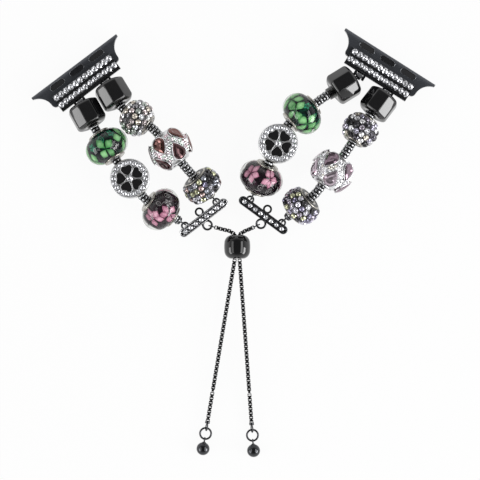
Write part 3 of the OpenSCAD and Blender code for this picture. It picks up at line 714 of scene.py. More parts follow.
eye_r = 1.25
eye_bore = 0.65
eye_w = 1.8
stub_from = 2.2
for side, name in enumerate(sides):
    body = name + "_barrel_pair"
    for chain, which in enumerate(chains):
        start, end = bend(side, chain, 0), bend(side, chain, 1)
        line = along(start, end)
        at = barrel_at[side][chain]
        barrel = Heap()
        barrel.put(barrel_shape(barrel_roll[side], at, (end - start).length), line @ move(at, 0))
        put_piece(f"{name}_{which}_barrel", barrel, black_ceramic, body, "barrel_black",
                  [name + "_barrels"])
        stub = even_path([line @ Vector((stub_from, 0, 0)), line @ Vector((at, 0, 0))], chain_step)
        put_chain(f"{name}_{which}_hinge_chain", stub, [name + "_barrels"], body)
        knuckle = Heap()
        eye = ((-eye_w / 2, eye_bore), (-eye_w / 2, eye_r - 0.12), (-eye_w / 2 + 0.12, eye_r),
               (eye_w / 2 - 0.12, eye_r), (eye_w / 2, eye_r - 0.12), (eye_w / 2, eye_bore))
        knuckle.put(turned_shape(eye, move(*start) @ spin(adapter_turn[side], "Z"), 32))
        section = ((-0.5, -0.6), (-0.4, -0.7), (0.4, -0.7), (0.5, -0.6),
                   (0.5, 0.6), (0.4, 0.7), (-0.4, 0.7), (-0.5, 0.6))
        tongue = [[(x, y, z) for y, z in section] for x in (eye_r - 0.2, stub_from + 0.3)]
        knuckle.put(skin(tongue, caps=True), line)
        put_piece(f"{name}_{which}_hinge_eye", knuckle, chain_metal, body, "chain_dark",
                  [name + "_barrels"], smooth=False)

# Ribbed chains: four lengths of black nickel plated snake chain, each made of pressed steel
# plates on a core. The beads are threaded on them. Each length bends between two beads,
# and the last one ends in a cap with an eye that hangs on the end bar.
bead_at = (((5.5, 6.8, 5.8), (5.5, 8.0, 7.6)), ((8.1, 6.6, 5.2), (5.1, 7.1, 6.1)))
chain_eye_r = 0.85
chain_eye_wire = 0.26
cap_length = 1.0
bend_reach = 1.2


def bead_frame(side, chain, row):
    """Origin in the middle of the bead of that row, local x along its chain."""
    line = along(bend(side, chain, row), bend(side, chain, row + 1))
    return line @ move(bead_at[side][chain][row - 1], 0)


for side, name in enumerate(sides):
    chain_bodies = [name + "_barrel_pair", name + "_row_1", name + "_row_2", name + "_row_3"]
    for chain, which in enumerate(chains):
        first = along(bend(side, chain, 0), bend(side, chain, 1))
        middles = [first @ Vector((barrel_at[side][chain], 0, 0))]
        middles += [bead_frame(side, chain, row).translation for row in (1, 2, 3)]
        for row in (1, 2, 3):
            corner = bend(side, chain, row)
            path = corner_path(middles[row - 1], corner, middles[row])
            made = put_chain(f"{name}_{which}_chain_{row}", path, [f"{name}_chain_row_{row}"])
            before = corner + (middles[row - 1] - corner).normalized() * bend_reach
            after = corner + (middles[row] - corner).normalized() * bend_reach
            chain_bodies[row - 1]
            chain_bodies[row]
            before * mm
            after * mm
            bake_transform(made)
        line = along(bend(side, chain, 3), bend(side, chain, 4))
        length = (bend(side, chain, 4) - bend(side, chain, 3)).length
        cap_end = length - chain_eye_r
        path = even_path([middles[3], line @ Vector((cap_end - cap_length + 0.1, 0, 0))], chain_step)
        put_chain(f"{name}_{which}_chain_4", path, [name + "_chain_row_3"], name + "_row_3")
        fitting = Heap()
        x = cap_end - cap_length
        cap = [(x - 0.12, 0.3), (x - 0.12, 1.2), (x, 1.32), (x + 0.2, 1.3), (x + 0.32, 1.2),
               (x + 0.5, 1.22), (x + 0.75, 1.15), (x + 0.95, 0.8), (x + 1.02, 0.3)]
        fitting.put(turned_shape(cap, line, 32))
        upright = line @ move(length, 0) @ spin(pi / 2, "X")
        fitting.put(ring_shape(chain_eye_r, chain_eye_wire, upright))
        put_piece(f"{name}_{which}_end_cap", fitting, gunmetal, name + "_row_3", "chain_dark",
                  [name + "_chain_row_3"])

# Lampwork beads: clear soda glass gathered over a dark core, with flower petals of pale
# enamel glass trapped between, and thin trailed scrolls. A rolled silver-plated sleeve lines
# each bore. The clear coat magnifies the petals. Its grey see-through edge is painted shade:
# the glass colour turns grey where it is seen edge on.
glass_r = 6.8
glass_half = 4.2
glass_end_r = 3.7
sleeve_r = 2.3
sleeve_bore = 1.8
core_r = 3.95
core_half = 3.2
core_end_r = 2.6
glass_rim_r = 3.5
glass_sleeve_half = 4.8
glass_rim_width = 0.6
petal_lift = 0.06
petal_dome = 0.2
scroll_lift = 0.14
bud_petals = 5
thread_r = 0.08


def arc_of(mid, end, half):
    """Centre height and radius of the arc through the middle and both ends of a turned bead."""
    centre = (mid * mid - end * end - half * half) / (2 * (mid - end))
    return centre, mid - centre


def arc_profile(mid, end, half, bore, steps=24):
    """Profile of a turned bead from end to end, closed along its bore."""
    centre, big = arc_of(mid, end, half)
    reach = asin(half / big)
    outline = []
    for i in range(steps + 1):
        t = reach * (i / steps * 2 - 1)
        outline.append((big * sin(t), centre + big * cos(t)))
    return outline + [(half, bore), (-half, bore)]


clear_glass, tree, shader = start_material("clear_soda_glass")
# The glass colour greys where the glass is seen edge on: painted shade for its darker rim.
edge_on = add(tree, "ShaderNodeLayerWeight", {"Blend": 0.35})
tone = add(tree, "ShaderNodeMix",
           {0: edge_on.outputs["Facing"], 6: linear("f4f7f4"), 7: linear("a9ada6")}, data_type="RGBA")
feed(tree, shader, {"Base Color": tone.outputs[2], "Transmission Weight": 1.0, "Roughness": 0.0,
                    "IOR": 1.5})
through = add(tree, "ShaderNodeBsdfTransparent", {"Color": linear("e8eeea")})
path = add(tree, "ShaderNodeLightPath")
lit = add(tree, "ShaderNodeMixShader",
          {0: path.outputs["Is Shadow Ray"], 1: shader.outputs[0], 2: through.outputs[0]})
tree.links.new(lit.outputs[0], tree.nodes["Material Output"].inputs["Surface"])

# Tarnish leaves the silver plate grey in patches.
sleeve_metal = two_tones("tarnished_silver_plate", 0.9, 4.0, "76726c", "cac6be",
                         {"Metallic": 1.0, "Roughness": 0.2})[0]


def sleeve_profile(bore, tube, rim, half, width):
    """A tube with a rolled rim at each end."""
    end = [(half - 0.3, bore), (half - 0.08, bore + 0.1), (half, bore + 0.32), (half, rim - 0.35),
           (half - 0.06, rim - 0.12), (half - 0.2, rim), (half - width + 0.1, rim),
           (half - width, rim - 0.12), (half - width, tube)]
    return [(-x, r) for x, r in reversed(end)] + end


def on_core(x, turn, lift):
    """A point at a height over the core of a glass bead."""
    centre, big = arc_of(core_r, core_end_r, core_half)
    r = centre + sqrt(max(big * big - x * x, 0.01)) + lift
    return (x, r * sin(turn), r * cos(turn))


def petal_shape(at_x, at_turn, angle, long, wide, foot, lift):
    """One domed petal on the core, and how pale each of its points is."""
    points = []
    pale = []
    steps, across = 12, 6
    for i in range(steps + 1):
        u = i / steps
        half_width = wide / 2 * sin(pi * u ** 1.15) ** 1.25 if 0 < u < 1 else 0.02
        for j in range(across + 1):
            v = j / across * 2 - 1
            a = foot + long * u
            b = half_width * v
            x = at_x + a * cos(angle) - b * sin(angle)
            turn = at_turn + (a * sin(angle) + b * cos(angle)) / core_r
            dome = sin(pi * u) * (1 - v * v)
            points.append(on_core(x, turn, lift + petal_dome * dome))
            pale.append((sin(pi * u ** 1.1) * (1 - 0.7 * v * v)) ** 1.1)
    faces = []
    row = across + 1
    for i in range(steps):
        for j in range(across):
            faces.append((i * row + j, i * row + j + 1, (i + 1) * row + j + 1, (i + 1) * row + j))
    return points, faces, pale


def scroll_path(at_x, at_turn, size, hand, windings=1.5):
    """A trailed thread of glass that runs in from the side and curls up on the core."""
    path = []
    for i in range(18):
        t = 1 - i / 18
        path.append(Vector(on_core(at_x + size + 0.12 + 0.5 * size * t * t,
                                   at_turn - hand * 1.8 * size * t / core_r, scroll_lift)))
    for i in range(60):
        t = i / 59
        r = size * (1 - t) ** 0.8 + 0.12
        a = hand * 2 * pi * windings * t
        path.append(Vector(on_core(at_x + r * cos(a), at_turn + r * sin(a) / core_r,
                                   scroll_lift)))
    return path


def thread_shape(path, radius, around=6):
    """A thin round thread along a path."""
    rings = []
    for i, p in enumerate(path):
        ahead = (path[min(i + 1, len(path) - 1)] - path[max(i - 1, 0)]).normalized()
        across = ahead.cross(Vector((0.3, 0.2, 1))).normalized()
        up = ahead.cross(across)
        rings.append([p + (across * s + up * c) * radius for s, c in circle(around)])
    return skin(rings, caps=True)


# Where the flowers, the small buds and the scrolls lie on each bead: along it, and round it.
flower_places = {
    ("green", 0): (((1.0, -0.15), (0.2, 1.35)),
                   ((-1.6, 0.8), (-1.2, -1.0)),
                   ((-1.6, -0.1, 0.8, 1), (1.6, 1.5, 0.6, -1))),
    ("green", 1): (((0.7, 0.85), (1.3, -0.4), (0.1, -1.25)),
                   ((-1.6, -0.2),),
                   ((-1.6, 0.7, 0.6, 1), (-1.5, 1.5, 0.6, -1))),
    ("pink", 0): (((-0.9, -0.85), (1.7, 0.05)),
                  ((0.0, 0.65),),
                  ((-0.6, 1.15, 0.8, 1), (-1.9, 0.3, 0.6, -1))),
    ("pink", 1): (((-0.7, -0.8), (-1.5, 0.6)),
                  ((0.1, 0.35),),
                  ((1.4, 0.2, 0.75, 1), (1.5, 0.95, 0.75, -1))),
}
# Colours of the two glass beads: dark core, its veins, petal edge, petal middle, and thread.
# The clear shell over them is the only gloss, so these lie dull and deep under it.
glass_beads = (
    ("green", 1, 4, ("060d12", "0d3b2c", "12702f", "a8e3a2", "3fae86")),
    ("pink", 3, 5, ("150a12", "34202c", "8f4566", "eeb4cb", "c2bcc0")),
)
for colour, row, petal_count, codes in glass_beads:
    core_code, vein_code, edge_code, pale_code, thread_code = codes
    core_glass, tree, shader = start_material(f"dark_core_glass_{colour}")
    where = add(tree, "ShaderNodeTexCoord")
    swirl = add(tree, "ShaderNodeTexNoise",
                {"Vector": where.outputs["Object"], "Scale": 1 / (2.2 * mm), "Detail": 3.0,
                 "Distortion": 1.5})
    veins = add(tree, "ShaderNodeMapRange",
                {"Value": swirl.outputs["Fac"], "From Min": 0.5, "From Max": 0.68})
    tone = add(tree, "ShaderNodeMix",
               {0: veins.outputs[0], 6: linear(core_code), 7: linear(vein_code)}, data_type="RGBA")
    feed(tree, shader, {"Base Color": tone.outputs[2], "Roughness": 0.3, "Specular IOR Level": 0.0})

    petal_glass, tree, shader = start_material(f"{colour}_enamel_glass")
    pale = add(tree, "ShaderNodeAttribute", attribute_name="pale")
    where = add(tree, "ShaderNodeTexCoord")
    streak = add(tree, "ShaderNodeTexNoise",
                 {"Vector": where.outputs["Object"], "Scale": 1 / (0.5 * mm), "Detail": 3.0})
    mixed = add(tree, "ShaderNodeMath", {0: streak.outputs["Fac"], 1: 0.5, 2: -0.25},
                operation="MULTIPLY_ADD")
    mixed = add(tree, "ShaderNodeMath", {0: mixed.outputs[0], 1: pale.outputs["Fac"]},
                operation="ADD", use_clamp=True)
    tone = add(tree, "ShaderNodeMix",
               {0: mixed.outputs[0], 6: linear(edge_code), 7: linear(pale_code)}, data_type="RGBA")
    feed(tree, shader, {"Base Color": tone.outputs[2], "Roughness": 0.4, "Specular IOR Level": 0.0})

    thread_glass = two_tones(f"trailed_thread_glass_{colour}", 0.6, 2.0, vein_code, thread_code,
                             {"Roughness": 0.3, "Specular IOR Level": 0.0})[0]
    slot = "glass_" + colour
    leaf_size = 1.2 if colour == "green" else 1.0
    for side, name in enumerate(sides):
        place = bead_frame(side, 0, row)
        body = f"{name}_{colour}_bead"
        stem = f"{name}_{colour}"
        shell = turned_shape(arc_profile(glass_r, glass_end_r, glass_half, sleeve_r + 0.04), place, 96)
        put_piece(stem + "_shell", shell, clear_glass, body, slot, [stem + "_glass"])
        core = turned_shape(arc_profile(core_r, core_end_r, core_half, sleeve_r + 0.06), place, 64)
        put_piece(stem + "_dark_core", core, core_glass, body, slot, [stem + "_glass"])

        # Every flower, bud and scroll is laid twice, half a turn apart.
        petals, threads = Heap(), Heap()
        paleness = []
        flowers, buds, scrolls = flower_places[(colour, side)]
        for half_turn in (0, pi):
            for flower, (x, turn) in enumerate(flowers):
                lift = petal_lift + 0.16 * flower
                for i in range(petal_count):
                    angle = flower + 0.5 + (i + random.uniform(-0.15, 0.15)) * 2 * pi / petal_count
                    long = random.uniform(2.2, 2.7) * leaf_size
                    wide = random.uniform(1.5, 1.75) * leaf_size
                    points, faces, pale = petal_shape(x, turn + half_turn, angle, long, wide, 0.1,
                                                      lift + 0.03 * i)
                    petals.put((points, faces), place)
                    milky = random.uniform(0.45, 1.0)
                    paleness += [milky * share for share in pale]
            for x, turn in buds:
                for i in range(bud_petals):
                    angle = i * 2 * pi / bud_petals
                    bud = petal_shape(x, turn + half_turn, angle, 1.0, 0.65, petal_lift, petal_lift)
                    threads.put(bud[:2], place)
            for x, turn, size, hand in scrolls:
                path = scroll_path(x, turn + half_turn, size, hand)
                threads.put(thread_shape(path, thread_r), place)
        made = put_piece(stem + "_petals", petals, petal_glass, body, slot)
        made.data.attributes.new("pale", "FLOAT", "POINT").data.foreach_set("value", paleness)
        put_piece(stem + "_scrolls", threads, thread_glass, body, slot)

        tube = sleeve_profile(sleeve_bore, sleeve_r, glass_rim_r, glass_sleeve_half, glass_rim_width)
        sleeve = turned_shape(tube, place)
        put_piece(stem + "_sleeve", sleeve, sleeve_metal, body, "bead_silver", [stem + "_core"])

# Flower discs: silver-plated cast discs threaded edge on, the same on both faces. Each has a
# ring of twenty small chatons, five low hearts of black enamel with raised silver outlines,
# and one chaton in the middle.
disc_r = 6.0
disc_half = 2.3
disc_rim = 0.16
disc_ring_r = 4.84
disc_stones = 20
small_stone_r = 0.76
small_stone_height = 0.35
small_grain_r = 0.17
wire_lift = 0.06
heart_at = 3.05
heart_side = 0.76
heart_lobe = 0.88
heart_tip = 1.12

# The plate is bright with wiping marks, and the enamel is fired to a wet-looking black gloss.
silver = two_tones("polished_silver_plate", 0.7, 4.0, "c2c3c5", "f4f4f5",
                   {"Metallic": 1.0, "Roughness": 0.3})[0]
enamel = two_tones("fired_black_enamel", 0.5, 3.0, "0a0a0b", "1f1f21",
                   {"Roughness": 0.08, "IOR": 1.55})[0]


def heart_outline(scale, steps=10):
    """Outline of a heart that points to the middle of the disc, in the plane."""
    outline = []
    for sign in (1, -1):
        lobe = []
        for i in range(steps + 1):
            a = radians(-35 + 170 * i / steps)
            lobe.append((heart_at + heart_lobe * cos(a),
                         sign * (heart_side + heart_lobe * sin(a))))
        lobe += [(1.98, sign * 1.13), (1.5, sign * 0.66)]
        outline += lobe if sign == 1 else lobe[::-1]
        if sign == 1:
            outline.append((heart_tip, 0.0))
    middle_x = 2.7
    return [(middle_x + (x - middle_x) * scale, y * scale) for x, y in outline]


def filled(outline, low, high):
    """A low dome over an outline."""
    points = [(x, y, low) for x, y in outline]
    count = len(outline)
    middle_x = sum(x for x, y in outline) / count
    middle_y = sum(y for x, y in outline) / count
    for share in (0.9, 0.6):
        points += [(middle_x + (x - middle_x) * share, middle_y + (y - middle_y) * share,
                    high - (high - low) * (0.5 if share > 0.8 else 0.1)) for x, y in outline]
    points, faces = skin([points[i * count:(i + 1) * count] for i in range(3)])
    points.append((middle_x, middle_y, high))
    return points, faces + fan(2 * count, count, 3 * count)


front_and_back = (Matrix(), spin(pi, "X"))
for side, name in enumerate(sides):
    place = bead_frame(side, 0, 2)
    body = name + "_flower_bead"
    stones, grains, hearts, wires = Heap(), Heap(), Heap(), Heap()
    for face in front_and_back:
        front = place @ face @ move(0, 0, disc_half)
        for i in range(disc_stones):
            turn = spin(2 * pi * i / disc_stones, "Z")
            stone = cut_stone(small_stone_r, small_stone_height)
            stones.put(stone, front @ turn @ set_down(disc_ring_r, 0, 0), clear)
            between = spin(2 * pi * (i + 0.5) / disc_stones, "Z")
            for r in (disc_ring_r - 0.6, disc_ring_r + 0.6):
                grains.put(ball(small_grain_r), front @ between @ move(r, 0, wire_lift))
        stones.put(cut_stone(1.0, stone_height), front @ set_down(0, 0, 0.05), clear)
        for i in range(5):
            turn = spin(radians(72 * i + 18), "Z")
            hearts.put(filled(heart_outline(1.08), 0.01, 0.14), front @ turn)
            outline = [Vector((x, y, 0)) for x, y in heart_outline(1.12)]
            wires.put(wire_round(outline, 0.09, 0.14), front @ turn @ move(0, 0, wire_lift))
        rim = [(disc_rim * s, disc_r - 0.3 + disc_rim * c) for s, c in circle(8)]
        wires.put(turned_shape(rim, front @ spin(pi / 2, "Y"), 72))
    finish_node(name + "_flower_disc", silver, 0.15)
    put_stones(name + "_flower_stones", stones, body, "crystal_clear", [name + "_flower_disc_crystals"])
    put_piece(name + "_flower_grains", grains, silver, body, "disc_silver")
    put_piece(name + "_flower_hearts", hearts, enamel, body, "disc_silver")
    put_piece(name + "_flower_outlines", wires, silver, body, "disc_silver")

# Pave balls and rondelles: brass beads lined with a sleeve and covered in black resin clay,
# into which rows of chatons are pressed while it is soft. The stones are mostly clear, with
# single ones of other tints, and the black clay shows between them.
clay, tree, shader, pressed, _ = two_tones(
    "black_resin_clay", 0.3, 3.0, "0c0c0d", "232325", {"Roughness": 0.35})
lumps = add(tree, "ShaderNodeBump",
            {"Height": pressed.outputs["Fac"], "Strength": 0.4, "Distance": 0.08 * mm})
feed(tree, shader, {"Normal": lumps.outputs[0]})


def on_bead_side(centre, big, phi, turn):
    """A place on a turned bead's curved side, with local z outwards."""
    return spin(turn, "X") @ move(big * sin(phi), 0, centre + big * cos(phi)) @ spin(phi, "Y")


def pave_rows(stones, grains, place, mid, end, half, rows, radius, pitch, tints):
    """Rows of stones round a turned bead, and a grain beside each stone."""
    centre, big = arc_of(mid, end, half)
    for row in range(rows):
        phi = (row - (rows - 1) / 2) * pitch / big
        around = centre + big * cos(phi)
        count = int(2 * pi * around / pitch)
        for i in range(count):
            turn = 2 * pi * (i + 0.5 * (row % 2)) / count
            tint = linear(random.choice(tints))
            spot = place @ on_bead_side(centre, big, phi, turn)
            stones.put(cut_stone(radius, stone_height), spot @ set_down(0, 0, 0), tint)
            spot = place @ on_bead_side(centre, big, phi + pitch * 0.5 / big, turn)
            grains.put(ball(0.14, 4, 6), spot @ move(0, 0, 0.08))


ball_tints = (("d2d2d6", "ccbfbf", "e2e5ea", "a89f9f", "b2bab3", "f2f2f2", "8b898d", "cfc6b9"),
              ("d6d6da", "a9a6b6", "55535b", "cfc8ba", "3a393d", "f2f2f4", "8f8893", "29282b"))
rondelle_tints = (("cfcfd6", "a58f8c", "c4c4cc", "b9bb98", "29282b", "8a8d96", "3b3a3e", "77748a"),
                  ("dad8e2", "b3afc4", "cfd0ad", "9a93a0", "e6e6ea", "807c93", "29282b", "55535b"))
pave_beads = (
    ("pave_ball", 1, 5.2, 2.8, 4.1, 3.4, 4.4, 0.9, 5, 0.93, 1.84, ball_tints),
    ("pave_rondelle", 3, 5.55, 4.2, 3.45, 4.1, 3.75, 0.5, 4, 0.9, 1.78, rondelle_tints),
)
for stem, row, mid, end, half, rim_r, sleeve_half, rim_width, rows, stone_r, pitch, tints in pave_beads:
    for side, name in enumerate(sides):
        place = bead_frame(side, 1, row)
        body = name + ("_pave_ball_bead" if stem == "pave_ball" else "_rondelle_bead")
        node = f"{name}_{stem}"
        stones, grains, base = Heap(), Heap(), Heap()
        pave_rows(stones, grains, place, mid, end, half, rows, stone_r, pitch, tints[side])
        base.put(turned_shape(arc_profile(mid, end, half, sleeve_r + 0.02), place, 72))
        for x in (-sleeve_half, sleeve_half):
            face = [(x * 0.97, sleeve_r + 0.1), (x * 1.01, sleeve_r + 0.2),
                    (x * 1.01, rim_r - 0.5), (x * 0.97, rim_r - 0.4)]
            base.put(turned_shape(face, place, 72))
        put_piece(node + "_clay", base, clay, body, "pave_black", [node])
        tube = sleeve_profile(sleeve_bore, sleeve_r, rim_r, sleeve_half, rim_width)
        sleeve = turned_shape(tube, place)
        put_piece(node + "_sleeve", sleeve, sleeve_metal, body, "bead_silver", [node])
        put_stones(node + "_stones", stones, body, "crystal_mixed", [node + "_crystals"])
        put_piece(node + "_grains", grains, gunmetal, body, "pave_black")

# Drop beads: silver-plated beads with ten large pear-cut stones, five to each end and
# pointing at each other, set in fine pave of small pale stones with a rainbow coating.
drop_mid, drop_end, drop_half = 6.1, 3.2, 4.9
gem_r = 2.05
gem_tip = 1.8
pear_middle = 0.35
side_bow = 0.16
gem_seat = 5.2
gem_shift = 0.7
gem_phi = radians(22)
gem_start = (radians(20), radians(26))
gem_count = 5
gem_height = 1.2
collar_z = 0.8
collar_wide, collar_high = 0.11, 0.16
grit_pitch = 0.78
grit_r = 0.43
grit_height = 0.3
gem_clearance = 0.3
grit_tints = (("fbfbfb", "f6e3ea", "e4f2e8", "f4f4f8", "ffffff", "efd5dc", "dfeee4"),
              ("fbfbfb", "f3eef2", "ecebf2", "ffffff", "e6e4e6", "f6f2e8", "d8d8dc"))
gem_tints = (("6f4742", "643b44", "a0706a", "4c2d30"), ("87717f", "a391a0", "64525e", "bcadb8"))


def pear_outline(scale, steps=20):
    """A pear outline with its tip along local x."""
    outline = []
    tip_angle = acos(1 / gem_tip)
    for i in range(steps + 1):
        a = tip_angle + (2 * pi - 2 * tip_angle) * i / steps
        outline.append((gem_r * cos(a), gem_r * sin(a)))
    shoulder_x, shoulder_y = outline[0]
    side_points = [(shoulder_x + (gem_r * gem_tip - shoulder_x) * k / 4,
                    shoulder_y * (1 - k / 4) + side_bow * sin(pi * k / 4)) for k in (1, 2, 3)]
    outline += [(x, -y) for x, y in side_points]
    outline.append((gem_r * gem_tip, 0.0))
    outline += side_points[::-1]
    return [(pear_middle + (x - pear_middle) * scale, y * scale) for x, y in outline]


def pear_stone(height):
    """A pear-cut stone: girdle, two rows of crown facets, and a table with the star of its back."""
    levels = ((1.0, -0.1), (1.0, 0.72), (0.86, 0.95), (0.62, 1.12), (0.34, 0.98))
    points = []
    for share, z in levels:
        points += [(x, y, height * z) for x, y in pear_outline(share)[::2]]
    count = len(points) // len(levels)
    points.append((pear_middle, 0, height * 1.04))
    faces = []
    for level in range(len(levels) - 1):
        for i in range(count):
            j = (i + 1) % count
            a, b = level * count, (level + 1) * count
            if (i + level) % 2:
                faces += [(a + i, a + j, b + j), (a + i, b + j, b + i)]
            else:
                faces += [(a + i, a + j, b + i), (a + j, b + j, b + i)]
    faces += fan((len(levels) - 1) * count, count, len(points) - 1)
    faces.append(tuple(range(count - 1, -1, -1)))
    return points, faces


def gem_places(side):
    """The seats of the pear stones on a drop bead, two rings turned half a stone apart."""
    for end in (-1, 1):
        for i in range(gem_count):
            turn = gem_start[side] + (i + (0.5 if end > 0 else 0)) * 2 * pi / gem_count
            yield (spin(turn, "X") @ spin(end * gem_phi, "Y") @ move(end * gem_shift, 0, gem_seat)
                   @ spin(pi if end > 0 else 0, "Z"))


def near_gem(seats, point, margin):
    """True if a point of the bead's side lies over one of the pear stones."""
    for seat in seats:
        local = seat.inverted() @ point
        if local.z < -1.5:
            continue
        away = hypot(local.x, local.y)
        if away < gem_r + margin:
            return True
        to_tip = gem_r * gem_tip - local.x
        slope = tan(asin(1 / gem_tip))
        beside_tip = abs(local.y) < to_tip * slope + margin
        if gem_r / gem_tip < local.x < gem_r * gem_tip + margin and beside_tip:
            return True
    return False


for side, name in enumerate(sides):
    place = bead_frame(side, 1, 2)
    body = name + "_drop_bead_body"
    gems, grit, collars = Heap(), Heap(), Heap()
    seats = list(gem_places(side))
    for i, seat in enumerate(seats):
        gems.put(pear_stone(gem_height), place @ seat, linear(gem_tints[side][i * 3 % 4]))
        outline = [Vector((x, y, collar_z)) for x, y in pear_outline(1.05)]
        collars.put(wire_round(outline, collar_wide, collar_high), place @ seat)
    centre, big = arc_of(drop_mid, drop_end, drop_half)
    reach = int(asin((drop_half - 1.0) / big) * big / grit_pitch)
    for row in range(-reach, reach + 1):
        phi = row * grit_pitch / big
        around = centre + big * cos(phi)
        count = int(2 * pi * around / grit_pitch)
        for i in range(count):
            spot = on_bead_side(centre, big, phi, 2 * pi * (i + 0.5 * (row % 2)) / count)
            if not near_gem(seats, spot.translation, gem_clearance):
                tint = linear(random.choice(grit_tints[side]))
                grit.put(cut_stone(grit_r, grit_height, 6), place @ spot @ set_down(0, 0, 0), tint)
    finish_node(name + "_drop_bead", silver, 0.05)
    put_stones(name + "_drop_gems", gems, body, ("gem_rose", "gem_mauve")[side],
               [name + "_drop_bead_gems"])
    put_stones(name + "_drop_pave", grit, body, "crystal_rainbow")
    put_piece(name + "_drop_collars", collars, silver, body, "bead_silver")

# End bars: cast bars in black nickel plate with a polished raised rim around a channel of
# eight chatons. The rings for the chains, the charm loop and the closure ring are cast on.
# The left bar's rim and grains are drawn in a much lighter plate than the rest: a painted highlight.
end_bar_length = 17.8
end_bar_width = 2.7
end_bar_z = 5.0
end_bar_top = end_bar_z + 1.1
end_bar_stones = 8
end_bar_pitch = 2.0
end_bar_stone_r = 0.85
end_bar_grain_side = 0.55
rim_inset = 0.2
rim_wide, rim_high = 0.2, 0.24

highlight_nickel = two_tones("painted_highlight_nickel_plate", 1.2, 3.0, "b6b7ba", "efeff0",
                          {"Metallic": 1.0, "Roughness": 0.28})[0]
# The left bar's rim and grains take the light plate as a painted highlight; the right bar's stay
# gunmetal.
rim_finish = (highlight_nickel, gunmetal)
for side, name in enumerate(sides):
    body = name + "_end_bar_body"
    place = end_bar_frame(side)
    stones, grains = Heap(), Heap()
    stone_row(stones, grains, place, end_bar_stones, end_bar_pitch, end_bar_stone_r, 0, end_bar_top,
              end_bar_pitch, end_bar_grain_side, end_bar_top + 0.05)
    rim = Heap()
    outline = oval(end_bar_length - 2 * rim_inset, end_bar_width - 2 * rim_inset, end_bar_top + 0.06)
    rim.put(wire_round(outline, rim_wide, rim_high), place)
    finish_node(name + "_end_bar", gunmetal, 0.1)
    put_stones(name + "_end_bar_stones", stones, body, "crystal_clear", [name + "_end_bar_crystals"])
    rim_metal = rim_finish[side]
    put_piece(name + "_end_bar_grains", grains, rim_metal, body, "gunmetal")
    put_piece(name + "_end_bar_rim", rim, rim_metal, body, "gunmetal")

# Closure chains and tails: two box chains of folded square links in polished black nickel
# plate. Each starts in a round link on its end bar's ring, runs through the sliding bead, and
# ends below it in a crimped cap with a small ring.
box_size = 1.2
link_long = 1.12
link_pitch = 0.66
link_wall = 0.24
link_deep = 0.74
closure_ring_at = (Vector((-0.45, -2.45, end_bar_z)), Vector((1.0, -2.5, end_bar_z)))
closure_leave = (radians(-16), radians(205))
closure_ring_r = 1.35
round_link_r = 0.85
round_link_wire = 0.22
chain_x = (0.4, 1.8)
slider_z = 4.0
closure_route = (((-3.8, 4.4, 4.7), (-1.3, 3.8, 4.3), (chain_x[0], 2.75, slider_z)),
                 ((5.2, 4.5, 4.7), (3.5, 3.8, 4.3), (chain_x[1], 2.75, slider_z)))
tail_start = (Vector((0.4, -4.6, slider_z)), Vector((1.8, -4.6, slider_z)))
tail_end = (Vector((-8.0, -54.7, 1.35)), Vector((5.5, -55.2, 1.35)))
tail_split = 41.5
tail_ring_tilt = radians(76)
tail_ring_offset = 1.57
tail_ring_r = 1.05
tail_ring_wire = 0.2
link_edge = 0.06
path_step = 0.05

# The plate is a dark mirror, worn a little lighter in places.
polished_nickel = two_tones("polished_black_nickel_links", 0.6, 3.0, "2f3032", "5e5f62",
                            {"Metallic": 1.0, "Roughness": 0.15})[0]


def box_link(turned):
    """One square link lying along local x, open across local z, or across y if turned."""
    points = []
    for z in (-link_deep / 2, link_deep / 2):
        for long, wide in ((link_long / 2, box_size / 2),
                           (link_long / 2 - link_wall, box_size / 2 - link_wall)):
            for x, y in ((-1, -1), (1, -1), (1, 1), (-1, 1)):
                points.append((x * long, -z, y * wide) if turned else (x * long, y * wide, z))
    faces = []
    for i in range(4):
        j = (i + 1) % 4
        faces += [(i, j, 8 + j, 8 + i), (4 + j, 4 + i, 12 + i, 12 + j), (j, i, 4 + i, 4 + j),
                  (8 + i, 8 + j, 12 + j, 12 + i)]
    return points, faces


def links_along(heap, path):
    """Links at an even pitch along a path, each turned a quarter from the last."""
    length = sum((q - p).length for p, q in zip(path, path[1:]))
    count = max(2, round((length - link_long) / link_pitch) + 1)
    pitch = (length - link_long) / (count - 1)
    dense = even_path(path, path_step)
    for i in range(count):
        at = min(len(dense) - 2, int((link_long / 2 + i * pitch) / path_step))
        low, high = max(0, at - 6), min(len(dense) - 1, at + 6)
        here = along(dense[low], dense[high])
        here.translation = dense[at]
        heap.put(box_link(i % 2 == 1), here)


def put_links(name, heap, body, replaced):
    """Links with their edges broken, so that they catch the light."""
    made = put_piece(name, heap, polished_nickel, body, "chain_box", replaced, smooth=False)
    bevel = made.modifiers.new("broken_edges", "BEVEL")
    bevel.width = link_edge * mm
    bevel.segments = 1


